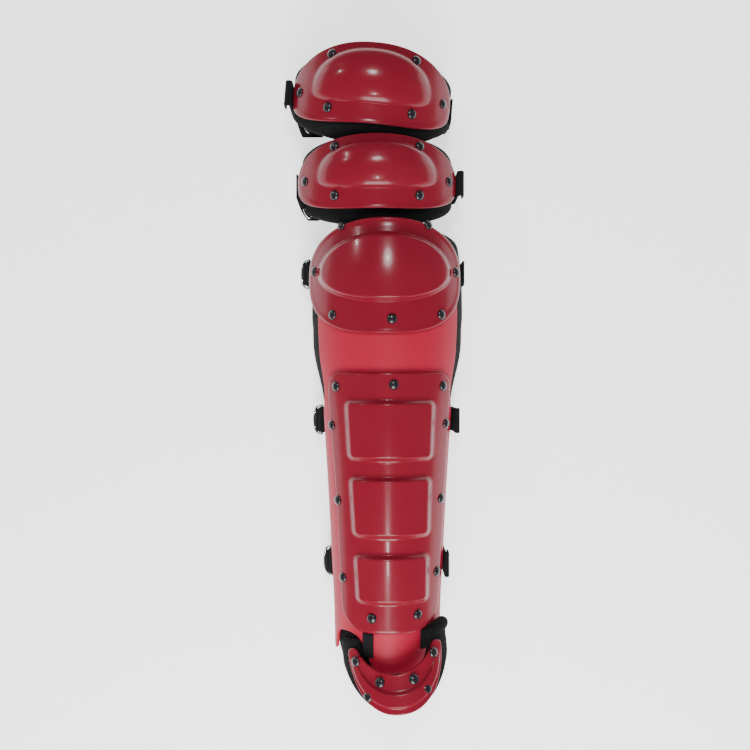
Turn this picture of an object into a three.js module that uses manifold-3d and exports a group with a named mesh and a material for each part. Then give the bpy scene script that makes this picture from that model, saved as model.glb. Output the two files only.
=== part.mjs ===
// Catcher's leg guard for one leg, lying on its back on the ground as it is put down after play.
// Units are millimetres. +Z points up out of the front of the guard, +Y runs up the leg to the thigh and +X
// is to the right as the guard is seen from the front. The origin is under the middle of the guard's box.
//
// From front to back: three moulded caps over the knee, a shin plate with three raised panels on a lighter
// shell, a foot plate, then the padding. Five straps cross behind the leg and carry the guard on the ground.
import * as THREE from 'three';
import { mergeVertices } from 'three/addons/utils/BufferGeometryUtils.js';
import Module from 'manifold-3d';

const wasm = await Module();
wasm.setup();

// Clearances
const SEAM = 0.8;            // between two layers that lie on each other
const PIN_GAP = 0.3;         // round a rivet's shank and under its head
const EDGE_GAP = 0.7;        // between the ends of two pads that meet
const CHORD = 0.4;           // room for the flat facets of two round layers

// Walls
const CAP_WALL = 3;
const BACKING_WALL = 2.4;
const PLATE_WALL = 3;
const SHELL_WALL = 3;
const LINER_WALL = 8;
const PAD_WALL = 11;
const FOOT_PAD_WALL = 8;

// The arch that the liner, the shell and the shin plate share
const KNEE_HALF = 76;        // half of the liner's width at the knee
const KNEE_CREST = 92;       // height of the liner's crest at the knee
const ARCH_RISE = 0.8;       // rise of the round part of the arch, as a share of its half width
const ARCH_ROUND = 1.43;     // power of the cosine: 1 is an ellipse, more is closer to a roof
const LINER_LENGTH = 396;

// Upper and middle caps: one moulding, two heights
const CAP_HALF = 79.5;
const CAP_ARCH_MARGIN = 4.5; // how far the arch under a cap is wider than the cap
const CAP_ARCH_RISE = 60;
const DOME_RISE = 10;
const DOME_HALF = 57;
const UPPER_CREST = 88;
const UPPER_TOP = 45;        // from the widest row up to the top edge
const UPPER_BOTTOM = 35;     // from the widest row down to the bottom edge
const UPPER_TURN = 4.7;      // degrees that the upper cap leans to the right
const UPPER_SHIFT = -15.8;   // sideways place of the caps, from the shin's middle line
const MIDDLE_CREST = 92;
const MIDDLE_TOP = 40;
const MIDDLE_BOTTOM = 33;
const MIDDLE_SHIFT = -10.4;
const BACKING_SHIFT = 4;     // how far the plate under the middle cap is moved to the right
const UPPER_UNDER = 14;      // how far the upper pad's lower end is under the middle cap's crest
const MIDDLE_UNDER = 1;      // the same for the middle pad, under the liner's crest
const CAP_GAP = 8.3;         // between one cap's bottom edge and the next one's top edge
const PAD_TUCK = 7;          // how far a pad goes in under the next cap
const UPPER_DIP = UPPER_CREST - MIDDLE_CREST + UPPER_UNDER;
const MIDDLE_DIP = MIDDLE_CREST - KNEE_CREST + MIDDLE_UNDER;

// Lower knee cap
const LOWER_HALF = 75.4;
const LOWER_TOP = 51.4;
const LOWER_BOTTOM = 59.2;
const LOWER_SHIFT = -3.3;
const LOWER_RISE = 10;
const LOWER_DOME_HALF = 65;
const LOWER_DOME_TOP = 37;
const LOWER_DOME_BOTTOM = 30;
const LOWER_OVERLAP = 37;    // how far the lower cap's bottom edge is above the shin plate's top edge

// Shin plate and shell
const PLATE_LENGTH = 249;
const PLATE_HALF = 60;
const PLATE_TOP_RADIUS = 10;
const PLATE_BOTTOM_RADIUS = 25;
const PANEL_RISE = 4.5;
const SHELL_TOP = 122;       // top edge of the shell above the shin plate's top edge, under the lower cap
const SHELL_BORDER = 0.07;   // padding left showing beside the shell at the knee, in radians
const TONGUE_LENGTH = 39;    // tongue of the shell below the shin plate

// Foot plate
const FOOT_HALF = 45.5;
const FOOT_DEPTH = 52;
const FOOT_NOTCH = 18;
const FOOT_NOTCH_HALF = 38;
const FOOT_ARCH_HALF = 56;
const FOOT_ARCH_RISE = 36;
const FOOT_CREST = 96.2;
const FOOT_SLOPE = 0.34;     // rise towards the toes for each millimetre of length
const ANKLE_EASE = 0.4;      // how much flatter the foot plate runs above its notch
const FOOT_TURN = 6;
const FOOT_SHIFT = 6.6;
const FOOT_DROP = 15.8;      // from the shin plate's bottom edge to the foot plate's upper corners
const FOOT_MARGIN = 6;       // padding that shows beside the foot plate
const FOOT_STEP = 2.4;
const FOOT_TIP = 5;          // how far the foot plate's tips run up past its widest row
const PAD_TIP_LEFT = 11;     // the same for the pad behind it
const PAD_TIP_RIGHT = 15;
const PAD_NOTCH_IN = 4;      // how much narrower and deeper the pad's notch is than the plate's
const PAD_NOTCH_DROP = 8;

// Rivets
const RIVET_HEAD = 4.75;
const RIVET_DOME = 2.8;
const RIVET_SHANK = 2.4;
const ROUND = 8;             // sides of a rivet
const HOLE_SIDES = 6;

// Straps and rings
const WEB_WIDTH = 25;
const WEB_THICK = 2;
const STRAP_REACH = 47;      // height of a strap's upper end
const STRAP_LOW = 32;        // height of a strap's end that stays hidden under a cap
const STRAP_HOOK_END = 22;   // height of a strap's end where it hooks on a ring
const RING_WIRE = 1.3;
const RING_DEPTH = 11;
const RING_DROP = 50;        // degrees that a ring hangs down from level
const TAB_LENGTH = 9;
const FOOT_WEB_WIDTH = 9.5;

// Places along the guard, measured from the shin plate's top edge
const plateTop = 0;
const plateBottom = plateTop - PLATE_LENGTH;
const lowerY = plateTop + LOWER_OVERLAP + LOWER_BOTTOM;
const middleY = lowerY + LOWER_TOP + CAP_GAP + MIDDLE_BOTTOM;
const upperY = middleY + MIDDLE_TOP + CAP_GAP + UPPER_BOTTOM;
const footY = plateBottom - FOOT_DROP;
const upperPadEnd = middleY + MIDDLE_TOP - PAD_TUCK;
const middlePadEnd = lowerY + LOWER_TOP - PAD_TUCK;
const linerTop = middlePadEnd - EDGE_GAP;
const linerEnd = linerTop - LINER_LENGTH;
const padFloor = WEB_THICK + PIN_GAP + 0.3;

// Layers of the shin, as distances out from the liner's front
const shellIn = SEAM + CHORD;
const shellOut = shellIn + SHELL_WALL;
const plateIn = shellOut + SEAM + CHORD;
const plateOut = plateIn + PLATE_WALL;

const PAINT = {
  gloss: [0x8a1e28, 0.25],
  shell: [0xc03448, 0.5],
  padding: [0x16171a, 0.9],
  webbing: [0x141417, 0.85],
  rivet: [0x1c1c22, 0.3],
  chrome: [0xb9bcc2, 0.2],
};

const guard = new THREE.Group();

function paint(name) {
  const [color, roughness] = PAINT[name];
  return new THREE.MeshStandardMaterial({ color, roughness, metalness: name === 'chrome' ? 1 : 0 });
}

function add(parent, name, geometry, finish) {
  const mesh = new THREE.Mesh(geometry, paint(finish));
  mesh.name = name;
  parent.add(mesh);
  return mesh;
}

// Value of a table's column at a place between its rows
function between(rows, key, at, column) {
  let low = rows[0];
  for (const row of rows) {
    if (row[key] >= at) {
      const span = row[key] - low[key];
      const share = span > 0 ? (at - low[key]) / span : 0;
      return low[column] + (row[column] - low[column]) * Math.max(0, share);
    }
    low = row;
  }
  return low[column];
}

function spread(from, to, count) {
  return Array.from({ length: count + 1 }, (_, i) => from + (to - from) * i / count);
}

// Solids from two skins

function geometryFrom(points, faces) {
  const positions = new Float32Array(points.flatMap((p) => [p.x, p.y, p.z]));
  let volume = 0;
  for (const [a, b, c] of faces) {
    volume += points[a].dot(new THREE.Vector3().crossVectors(points[b], points[c]));
  }
  const turned = volume < 0 ? faces.map(([a, b, c]) => [a, c, b]) : faces;
  const geometry = new THREE.BufferGeometry();
  geometry.setAttribute('position', new THREE.BufferAttribute(positions, 3));
  geometry.setIndex(turned.flat());
  return geometry;
}

// A wall between two grids of points with the same rows and columns
function wallFromGrids(outer, inner) {
  const rows = outer.length;
  const cols = outer[0].length;
  const points = [...outer.flat(), ...inner.flat()];
  const at = (side, i, j) => side * rows * cols + i * cols + j;
  const faces = [];
  const quad = (a, b, c, d) => faces.push([a, b, c], [a, c, d]);
  for (let i = 0; i + 1 < rows; i += 1) {
    for (let j = 0; j + 1 < cols; j += 1) {
      quad(at(0, i, j), at(0, i, j + 1), at(0, i + 1, j + 1), at(0, i + 1, j));
      quad(at(1, i, j), at(1, i + 1, j), at(1, i + 1, j + 1), at(1, i, j + 1));
    }
    quad(at(0, i, 0), at(0, i + 1, 0), at(1, i + 1, 0), at(1, i, 0));
    quad(at(0, i, cols - 1), at(1, i, cols - 1), at(1, i + 1, cols - 1), at(0, i + 1, cols - 1));
  }
  for (let j = 0; j + 1 < cols; j += 1) {
    quad(at(0, 0, j), at(1, 0, j), at(1, 0, j + 1), at(0, 0, j + 1));
    quad(at(0, rows - 1, j), at(0, rows - 1, j + 1), at(1, rows - 1, j + 1), at(1, rows - 1, j));
  }
  return geometryFrom(points, faces);
}

// A wall between two discs, each a middle point and rings of points round it
function wallFromRings(outer, inner) {
  const count = outer[1].length;
  const size = 1 + (outer.length - 1) * count;
  const points = [...outer.flat(), ...inner.flat()];
  const at = (side, ring, k) => side * size + (ring === 0 ? 0 : 1 + (ring - 1) * count + k % count);
  const faces = [];
  for (let k = 0; k < count; k += 1) {
    faces.push([at(0, 0, 0), at(0, 1, k), at(0, 1, k + 1)]);
    faces.push([at(1, 0, 0), at(1, 1, k + 1), at(1, 1, k)]);
    for (let ring = 1; ring + 1 < outer.length; ring += 1) {
      faces.push([at(0, ring, k), at(0, ring + 1, k), at(0, ring + 1, k + 1)]);
      faces.push([at(0, ring, k), at(0, ring + 1, k + 1), at(0, ring, k + 1)]);
      faces.push([at(1, ring, k), at(1, ring + 1, k + 1), at(1, ring + 1, k)]);
      faces.push([at(1, ring, k), at(1, ring, k + 1), at(1, ring + 1, k + 1)]);
    }
    const rim = outer.length - 1;
    faces.push([at(0, rim, k), at(1, rim, k), at(1, rim, k + 1)]);
    faces.push([at(0, rim, k), at(1, rim, k + 1), at(0, rim, k + 1)]);
  }
  return geometryFrom(points, faces);
}

// A closed wire that follows a flat loop
function wireLoop(pointAt, planeNormal, radius, stations, sides) {
  const points = [];
  const faces = [];
  for (let i = 0; i < stations; i += 1) {
    const here = pointAt(i / stations);
    const along = pointAt((i + 0.5) / stations).sub(pointAt((i - 0.5 + stations) / stations)).normalize();
    const out = new THREE.Vector3().crossVectors(along, planeNormal).normalize();
    for (let k = 0; k < sides; k += 1) {
      const angle = 2 * Math.PI * k / sides;
      points.push(here.clone().addScaledVector(out, radius * Math.cos(angle))
        .addScaledVector(planeNormal, radius * Math.sin(angle)));
      const next = (i + 1) % stations;
      const turn = (k + 1) % sides;
      const a = i * sides + k;
      const b = next * sides + k;
      const c = next * sides + turn;
      const d = i * sides + turn;
      faces.push([a, b, c], [a, c, d]);
    }
  }
  return geometryFrom(points, faces);
}

// Cuts

function toSolid(geometry) {
  const bare = geometry.clone();
  bare.deleteAttribute('normal');
  bare.deleteAttribute('uv');
  const merged = mergeVertices(bare, 1e-4);
  return new wasm.Manifold(new wasm.Mesh({
    numProp: 3,
    vertProperties: new Float32Array(merged.attributes.position.array),
    triVerts: new Uint32Array(merged.index.array),
  }));
}

function toGeometry(solid) {
  const mesh = solid.getMesh();
  const geometry = new THREE.BufferGeometry();
  geometry.setAttribute('position', new THREE.BufferAttribute(new Float32Array(mesh.vertProperties), 3));
  geometry.setIndex(Array.from(mesh.triVerts));
  return geometry;
}

// Rivets

function turned(profile, sides) {
  const points = profile.map(([radius, height]) => new THREE.Vector2(radius, height));
  return new THREE.LatheGeometry(points, sides).rotateX(Math.PI / 2);
}

// Height of a plate's front over the ground, met from above
function frontOf(geometry) {
  const mesh = new THREE.Mesh(geometry, new THREE.MeshBasicMaterial({ side: THREE.DoubleSide }));
  const down = new THREE.Vector3(0, 0, -1);
  const above = 500;
  return (x, y) => {
    const ray = new THREE.Raycaster(new THREE.Vector3(x, y, above), down);
    const hits = ray.intersectObject(mesh);
    return hits.length > 0 ? hits[0].point.z : -Infinity;
  };
}

// Place and direction of a rivet. height is the plate's smooth form and front its facets, which the head clears.
function seat(height, front, x, y) {
  const step = 1;
  const slopeX = (height(x + step, y) - height(x - step, y)) / (2 * step);
  const slopeY = (height(x, y + step) - height(x, y - step)) / (2 * step);
  const normal = new THREE.Vector3(-slopeX, -slopeY, 1).normalize();
  const middle = new THREE.Vector3(x, y, height(x, y));
  const side = new THREE.Vector3(1, 0, slopeX).normalize();
  const along = new THREE.Vector3().crossVectors(normal, side);
  let lift = (front(x, y) - middle.z) * normal.z;
  for (const share of [0.5, 1]) {
    for (let k = 0; k < ROUND; k += 1) {
      const angle = 2 * Math.PI * k / ROUND;
      const rim = middle.clone().addScaledVector(side, share * RIVET_HEAD * Math.cos(angle))
        .addScaledVector(along, share * RIVET_HEAD * Math.sin(angle));
      lift = Math.max(lift, (front(rim.x, rim.y) - rim.z) * normal.z);
    }
  }
  const base = middle.clone().addScaledVector(normal, lift + PIN_GAP);
  return { base, turn: new THREE.Quaternion().setFromUnitVectors(new THREE.Vector3(0, 0, 1), normal) };
}

// Drills a plate for its rivets and adds them, named by the plate and a number
function rivet(parent, plateName, geometry, finish, height, places, wall) {
  const front = frontOf(geometry);
  const hole = (RIVET_SHANK + PIN_GAP) / Math.cos(Math.PI / HOLE_SIDES);
  const reach = 3 * wall;
  let solid = toSolid(geometry);
  places.forEach(({ x, y }, index) => {
    const { base, turn } = seat(height, front, x, y);
    const drill = turned([[0, -reach], [hole, -reach], [hole, reach], [0, reach]], HOLE_SIDES);
    solid = solid.subtract(toSolid(drill.applyQuaternion(turn).translate(base.x, base.y, base.z)));
    const body = turned([[0, -wall], [RIVET_SHANK, -wall], [RIVET_SHANK, 0], [RIVET_HEAD, 0],
      [RIVET_HEAD * 0.8, RIVET_DOME * 0.68], [0, RIVET_DOME]], ROUND);
    body.applyQuaternion(turn).translate(base.x, base.y, base.z);
    add(parent, `rivet_${plateName}_${index + 1}`, toGeometry(toSolid(body)), 'rivet');
  });
  add(parent, plateName, toGeometry(solid), finish);
}

// Shared arch. along is the share of the liner's length from the knee, half and crest are shares of the
// knee's half width and crest.
const ARCH = [
  { along: 0.00, half: 0.93, crest: 0.935 },
  { along: 0.13, half: 1.00, crest: 1.000 },
  { along: 0.29, half: 0.987, crest: 1.000 },
  { along: 0.39, half: 0.87, crest: 0.985 },
  { along: 0.43, half: 0.836, crest: 0.975 },
  { along: 0.52, half: 0.776, crest: 0.957 },
  { along: 0.67, half: 0.724, crest: 0.918 },
  { along: 0.82, half: 0.684, crest: 0.880 },
  { along: 0.92, half: 0.658, crest: 0.853 },
  { along: 1.07, half: 0.640, crest: 0.815 },
];

function archAt(y) {
  const along = (linerTop - y) / LINER_LENGTH;
  const half = KNEE_HALF * between(ARCH, 'along', along, 'half');
  const crest = KNEE_CREST * between(ARCH, 'along', along, 'crest');
  return { half, rise: ARCH_RISE * half, foot: crest - ARCH_RISE * half };
}

// Point of an arch at an angle from its crest, moved out by a distance
function archPoint(arch, angle, y, out) {
  const cosine = Math.max(0, Math.cos(angle));
  return new THREE.Vector3((arch.half + out) * Math.sin(angle), y,
    arch.foot + (arch.rise + out) * cosine ** ARCH_ROUND);
}

// Height of an arch over the ground at a sideways place
function archHeight(arch, x, out) {
  const share = Math.min(0.999, Math.abs(x) / (arch.half + out));
  return arch.foot + (arch.rise + out) * (1 - share * share) ** (ARCH_ROUND / 2);
}

// Half of a rounded outline: the upper and lower halves have a depth and a squareness each
function outlinePoint(shape, angle) {
  const cosine = Math.cos(angle);
  const sine = Math.sin(angle);
  const power = sine >= 0 ? shape.topPower : shape.bottomPower;
  const depth = sine >= 0 ? shape.top : shape.bottom;
  const reach = (Math.abs(cosine) ** power + Math.abs(sine) ** power) ** (-1 / power);
  return { x: shape.half * cosine * reach, y: depth * sine * reach };
}

// Share of the way from an outline's middle to its edge
function outlineShare(shape, x, y) {
  const power = y >= 0 ? shape.topPower : shape.bottomPower;
  const depth = y >= 0 ? shape.top : shape.bottom;
  return (Math.abs(x / shape.half) ** power + Math.abs(y / depth) ** power) ** (1 / power);
}

// Rise of a dome over its base: full at the middle, nothing past its edge
function domeRise(dome, x, y) {
  const share = Math.min(1, outlineShare(dome, x, y));
  return dome.rise * (1 - share ** dome.flatness) ** 0.8;
}

const CAP_SEGMENTS = 28;
const DOME_RINGS = [0.45, 0.78, 1];
const FLANGE_RINGS = [0.5, 1];

// Rings of points from the middle of the dome over its edge to the cap's outline
function capRings(outline, dome, height) {
  const lifted = (x, y) => new THREE.Vector3(x, y, height(x, y));
  const rings = [[lifted(0, 0)]];
  const angles = spread(0, 2 * Math.PI, CAP_SEGMENTS).slice(0, -1);
  for (const share of DOME_RINGS) {
    rings.push(angles.map((angle) => {
      const edge = outlinePoint(dome, angle);
      return lifted(edge.x * share, edge.y * share);
    }));
  }
  for (const share of FLANGE_RINGS) {
    rings.push(angles.map((angle) => {
      const from = outlinePoint(dome, angle);
      const to = outlinePoint(outline, angle);
      return lifted(from.x + (to.x - from.x) * share, from.y + (to.y - from.y) * share);
    }));
  }
  return rings;
}

// Bend of a cap back towards the leg at its top and bottom edges
function bow(shape, y) {
  return y >= 0 ? shape.topBow * (y / shape.top) ** 2 : shape.bottomBow * (y / shape.bottom) ** 2;
}

// A pad in arch form between two ends, each end drawn back at its sides. Its side edges stand on the floor gap.
const PAD_TOP_POWER = 2.6;
const PAD_STEPS = 16;
const PAD_ROWS = 5;

function padSolid(arch, outSide, wall, ends) {
  const angles = spread(-Math.PI / 2, Math.PI / 2, PAD_STEPS);
  const columns = [angles[0], ...angles, angles[angles.length - 1]];
  const skin = (out) => spread(0, 1, PAD_ROWS).map((share) => columns.map((angle, j) => {
    const side = Math.abs(angle) / (Math.PI / 2);
    const top = ends.top - ends.topBack * side ** PAD_TOP_POWER;
    const bottom = ends.bottom + ends.bottomBack * side ** (ends.bottomPower ?? 1);
    const y = top + (bottom - top) * share;
    const point = archPoint(arch(y), angle, y, out);
    if (j === 0 || j === columns.length - 1) point.z = padFloor;
    return point;
  }));
  return wallFromGrids(skin(outSide), skin(outSide - wall));
}

// A strap across the back of the leg, flat on the ground, its two ends turned up beside the padding
function strapSolid(half, y, leftTop, rightTop) {
  const inX = half + SEAM;
  const outX = inX + WEB_THICK;
  const bend = WEB_THICK;
  const shape = new THREE.Shape();
  shape.moveTo(-outX, leftTop);
  shape.lineTo(-outX, bend);
  shape.absarc(-outX + bend, bend, bend, Math.PI, 1.5 * Math.PI, false);
  shape.lineTo(outX - bend, 0);
  shape.absarc(outX - bend, bend, bend, 1.5 * Math.PI, 2 * Math.PI, false);
  shape.lineTo(outX, rightTop);
  shape.lineTo(inX, rightTop);
  shape.lineTo(inX, WEB_THICK);
  shape.lineTo(-inX, WEB_THICK);
  shape.lineTo(-inX, leftTop);
  const options = { depth: WEB_WIDTH, bevelEnabled: false, curveSegments: 3 };
  return new THREE.ExtrudeGeometry(shape, options).rotateX(Math.PI / 2).translate(0, y + WEB_WIDTH / 2, 0);
}

// Upper and middle caps with their padding and straps, each in a frame of its own

const CAP_POWERS = { topPower: 2.4, bottomPower: 3.1 };

function capShape(half, top, bottom) {
  return { half, top, bottom, topBow: 7, bottomBow: 3, ...CAP_POWERS };
}

// Rivets of these caps. across and along are shares of the cap's half width and of its depth.
const CAP_RIVETS = [
  { across: -0.515, along: 0.72 },
  { across: 0.515, along: 0.72 },
  { across: -0.892, along: -0.02 },
  { across: 0.892, along: -0.02 },
  { across: -0.51, along: -0.58 },
  { across: 0.51, along: -0.58 },
];

function rivetPlaces(outline, table) {
  return table.map(({ across, along }) => ({
    x: across * outline.half,
    y: along * (along >= 0 ? outline.top : outline.bottom),
  }));
}

const DOME_TOP_MARGIN = 7.5;
const DOME_BOTTOM_MARGIN = 19;

function kneeCap(name, frame, crest, outline) {
  const dome = {
    half: DOME_HALF,
    top: outline.top - DOME_TOP_MARGIN,
    bottom: outline.bottom - DOME_BOTTOM_MARGIN,
    rise: DOME_RISE,
    flatness: 2.2,
    topPower: 2.3,
    bottomPower: 2.8,
  };
  const arch = { half: CAP_HALF + CAP_ARCH_MARGIN, rise: CAP_ARCH_RISE, foot: crest - CAP_ARCH_RISE };
  const height = (out) => (x, y) => archHeight(arch, x, out) - bow(outline, y) + domeRise(dome, x, y);
  const geometry = wallFromRings(capRings(outline, dome, height(0)), capRings(outline, dome, height(-CAP_WALL)));
  rivet(frame, name, geometry, 'gloss', height(0), rivetPlaces(outline, CAP_RIVETS), CAP_WALL);
  return arch;
}

// Arch of a pad that bends back with its cap and dips where it goes in under the next one
function bentArch(arch, outline, end, dip) {
  return (y) => {
    const past = Math.max(0, -y - outline.bottom) / (-end - outline.bottom);
    const lowered = bow(outline, Math.max(y, -outline.bottom)) + dip * past;
    return { ...arch, foot: arch.foot - lowered };
  };
}

const upper = new THREE.Group();
upper.position.set(UPPER_SHIFT, upperY, 0);
upper.rotation.z = -UPPER_TURN * Math.PI / 180;
guard.add(upper);
const upperOutline = capShape(CAP_HALF, UPPER_TOP, UPPER_BOTTOM);
const upperArch = kneeCap('cap_upper', upper, UPPER_CREST, upperOutline);
const upperPadOut = -CAP_WALL - SEAM - CHORD;
const upperEnds = {
  top: UPPER_TOP - 9,
  topBack: 14,
  bottom: upperPadEnd - upperY,
  bottomBack: 34,
  bottomPower: 1.6,
};
add(upper, 'pad_upper', padSolid(bentArch(upperArch, upperOutline, upperEnds.bottom, UPPER_DIP), upperPadOut,
  PAD_WALL, upperEnds), 'padding');
add(upper, 'strap_upper', strapSolid(CAP_HALF + PIN_GAP, 0, STRAP_REACH, STRAP_LOW), 'webbing');

const middle = new THREE.Group();
middle.position.set(MIDDLE_SHIFT, middleY, 0);
guard.add(middle);
const middleOutline = capShape(CAP_HALF, MIDDLE_TOP, MIDDLE_BOTTOM);
const middleArch = kneeCap('cap_middle', middle, MIDDLE_CREST, middleOutline);
const backingOut = -CAP_WALL - SEAM - CHORD;
const backingOutline = {
  ...middleOutline,
  half: CAP_HALF - 8,
  top: MIDDLE_TOP - 2,
  bottom: MIDDLE_BOTTOM - 8,
  topPower: 3.2,
};
const backingHeight = (out) => (x, y) => archHeight(middleArch, x + BACKING_SHIFT, out)
  - bow(middleOutline, y);
const backingSkin = (out) => {
  const angles = spread(0, 2 * Math.PI, CAP_SEGMENTS).slice(0, -1);
  const ring = (share) => angles.map((angle) => {
    const edge = outlinePoint(backingOutline, angle);
    return new THREE.Vector3(edge.x * share, edge.y * share, backingHeight(out)(edge.x * share, edge.y * share));
  });
  return [[new THREE.Vector3(0, 0, backingHeight(out)(0, 0))], ...[0.26, 0.52, 0.77, 1].map(ring)];
};
const backing = wallFromRings(backingSkin(backingOut), backingSkin(backingOut - BACKING_WALL));
add(middle, 'backing_middle', backing.translate(BACKING_SHIFT, 0, 0), 'shell');
const middlePadOut = backingOut - BACKING_WALL - SEAM - 2 * CHORD;
const middleEnds = {
  top: upperPadEnd - middleY - 2.4,
  topBack: 16,
  bottom: middlePadEnd - middleY,
  bottomBack: 27,
  bottomPower: 1.7,
};
add(middle, 'pad_middle', padSolid(bentArch(middleArch, middleOutline, middleEnds.bottom, MIDDLE_DIP),
  middlePadOut, PAD_WALL, middleEnds), 'padding');
add(middle, 'strap_middle', strapSolid(CAP_HALF + PIN_GAP, 0, STRAP_LOW, STRAP_REACH), 'webbing');

// Padded liner behind the knee and the shin

add(guard, 'liner', padSolid(archAt, 0, LINER_WALL, {
  top: linerTop,
  topBack: 12,
  bottom: linerEnd,
  bottomBack: 0,
}), 'padding');

// Shell. across is the share of the way from the middle to the shell's side edge, end is how far the lower
// edge stands from the tongue's end, as a share of the tongue's length.
const SHELL_COLUMNS = [
  { across: -1.00, end: 0.36 },
  { across: -0.88, end: 0.40 },
  { across: -0.80, end: 0.80 },
  { across: -0.62, end: 0.92 },
  { across: -0.42, end: 0.86 },
  { across: -0.30, end: 0.60 },
  { across: -0.20, end: 0.14 },
  { across: 0.00, end: 0.00 },
  { across: 0.22, end: 0.00 },
  { across: 0.42, end: 0.00 },
  { across: 0.54, end: 0.30 },
  { across: 0.66, end: 0.86 },
  { across: 0.82, end: 0.90 },
  { across: 0.92, end: 0.80 },
  { across: 1.00, end: 0.78 },
];

// Side edge of the shell, in degrees round the arch
const SHELL_EDGE = [
  { along: 0.00, angle: 50 },
  { along: 0.13, angle: 60 },
  { along: 0.39, angle: 66 },
  { along: 0.46, angle: 76 },
  { along: 0.56, angle: 84 },
  { along: 1.07, angle: 84 },
];

const SHELL_ROWS = 12;

const BORDER_MIDDLE = 0.28;    // where the border is widest, as a share of the liner's length
const SHELL_TOP_BACK = 24;     // drop of the shell's top edge towards its sides

function shellSkin(out) {
  const end = plateBottom - TONGUE_LENGTH;
  return spread(0, 1, SHELL_ROWS).map((share) => SHELL_COLUMNS.map((column) => {
    const side = Math.abs(column.across) ** 2.5;
    const top = SHELL_TOP - SHELL_TOP_BACK * side;
    const bottom = end + column.end * TONGUE_LENGTH;
    const y = top + (bottom - top) * share;
    const along = (linerTop - y) / LINER_LENGTH;
    const edge = between(SHELL_EDGE, 'along', along, 'angle') * Math.PI / 180;
    const border = SHELL_BORDER * Math.max(0, 1 - Math.abs(along - BORDER_MIDDLE) / BORDER_MIDDLE);
    return archPoint(archAt(y), column.across * (edge - border), y, out);
  }));
}

add(guard, 'shin_shell', wallFromGrids(shellSkin(shellOut), shellSkin(shellIn)), 'shell');

// Shin plate. left and right are shares of the plate's half width at shares of its length from the top.
const PLATE_SIDES = [
  { along: 0.00, left: -0.955, right: 1.005 },
  { along: 0.10, left: -0.965, right: 1.015 },
  { along: 0.50, left: -0.835, right: 0.930 },
  { along: 0.90, left: -0.755, right: 0.835 },
  { along: 1.00, left: -0.740, right: 0.800 },
];

// Panels: the outer foot of the slope round each, and how far the slope runs in, in shares of the length
// and of the half width.
const PANELS = [
  { top: 0.100, bottom: 0.337, left: -0.71, right: 0.775, leftEnd: -0.655, rightEnd: 0.74 },
  { top: 0.392, bottom: 0.632, left: -0.64, right: 0.72, leftEnd: -0.58, rightEnd: 0.70 },
  { top: 0.690, bottom: 0.888, left: -0.565, right: 0.685, leftEnd: -0.52, rightEnd: 0.68 },
];
const PANEL_SLOPE = 5;

// Rivets of the shin plate, in shares of its half width and of its length from the top
const PLATE_RIVETS = [
  { across: -0.83, along: 0.052 },
  { across: 0.087, along: 0.044 },
  { across: 0.887, along: 0.050 },
  { across: -0.905, along: 0.203 },
  { across: 0.945, along: 0.197 },
  { across: -0.805, along: 0.495 },
  { across: 0.867, along: 0.490 },
  { across: -0.725, along: 0.797 },
  { across: 0.80, along: 0.777 },
  { across: -0.255, along: 0.939 },
  { across: 0.477, along: 0.930 },
];

function cornerInset(y, edge, radius) {
  const into = Math.max(0, radius - Math.abs(edge - y));
  return radius - Math.sqrt(Math.max(0, radius * radius - into * into));
}

// Side edges of the plate at a place along it, with its corners rounded
function plateSides(y) {
  const along = (plateTop - y) / PLATE_LENGTH;
  const inset = cornerInset(y, plateTop, PLATE_TOP_RADIUS) + cornerInset(y, plateBottom, PLATE_BOTTOM_RADIUS);
  return {
    left: PLATE_HALF * between(PLATE_SIDES, 'along', along, 'left') + inset,
    right: PLATE_HALF * between(PLATE_SIDES, 'along', along, 'right') - inset,
  };
}

// Foot and edge of the nearest panel's slope on both sides, at a place along the plate
function panelSides(y) {
  const along = (plateTop - y) / PLATE_LENGTH;
  const panel = PANELS.find((each) => along <= each.bottom) ?? PANELS[PANELS.length - 1];
  const share = Math.min(1, Math.max(0, (along - panel.top) / (panel.bottom - panel.top)));
  return {
    left: PLATE_HALF * (panel.left + (panel.leftEnd - panel.left) * share),
    right: PLATE_HALF * (panel.right + (panel.rightEnd - panel.right) * share),
  };
}

function plateRows() {
  const bevel = PANEL_SLOPE;
  const rows = [plateTop, plateTop - 0.3 * PLATE_TOP_RADIUS, plateTop - PLATE_TOP_RADIUS];
  for (const panel of PANELS) {
    const top = plateTop - panel.top * PLATE_LENGTH;
    const bottom = plateTop - panel.bottom * PLATE_LENGTH;
    rows.push(top, top - bevel, bottom + bevel, bottom);
  }
  rows.push(plateBottom + 0.55 * PLATE_BOTTOM_RADIUS, plateBottom + 0.2 * PLATE_BOTTOM_RADIUS, plateBottom);
  return rows;
}

function onPanel(y) {
  const drop = plateTop - y;
  return PANELS.some((panel) => drop > panel.top * PLATE_LENGTH + PANEL_SLOPE - 0.01
    && drop < panel.bottom * PLATE_LENGTH - PANEL_SLOPE + 0.01);
}

const PANEL_SPLIT = 4;

function plateSkin(out) {
  return plateRows().map((y) => {
    const edge = plateSides(y);
    const panel = panelSides(y);
    const inLeft = panel.left + PANEL_SLOPE;
    const inRight = panel.right - PANEL_SLOPE;
    const raised = onPanel(y);
    const places = [edge.left, 0.5 * (edge.left + panel.left), panel.left];
    const inner = spread(inLeft, inRight, PANEL_SPLIT);
    const all = [...places, ...inner, panel.right, 0.5 * (edge.right + panel.right), edge.right];
    const clear = 1.5;
    return all.map((x, j) => {
      const low = edge.left + clear * j;
      const high = edge.right - clear * (all.length - 1 - j);
      const place = Math.min(high, Math.max(low, x));
      const rise = raised && j >= places.length && j < places.length + inner.length ? PANEL_RISE : 0;
      return new THREE.Vector3(place, y, archHeight(archAt(y), place, out) + rise);
    });
  });
}

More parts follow.
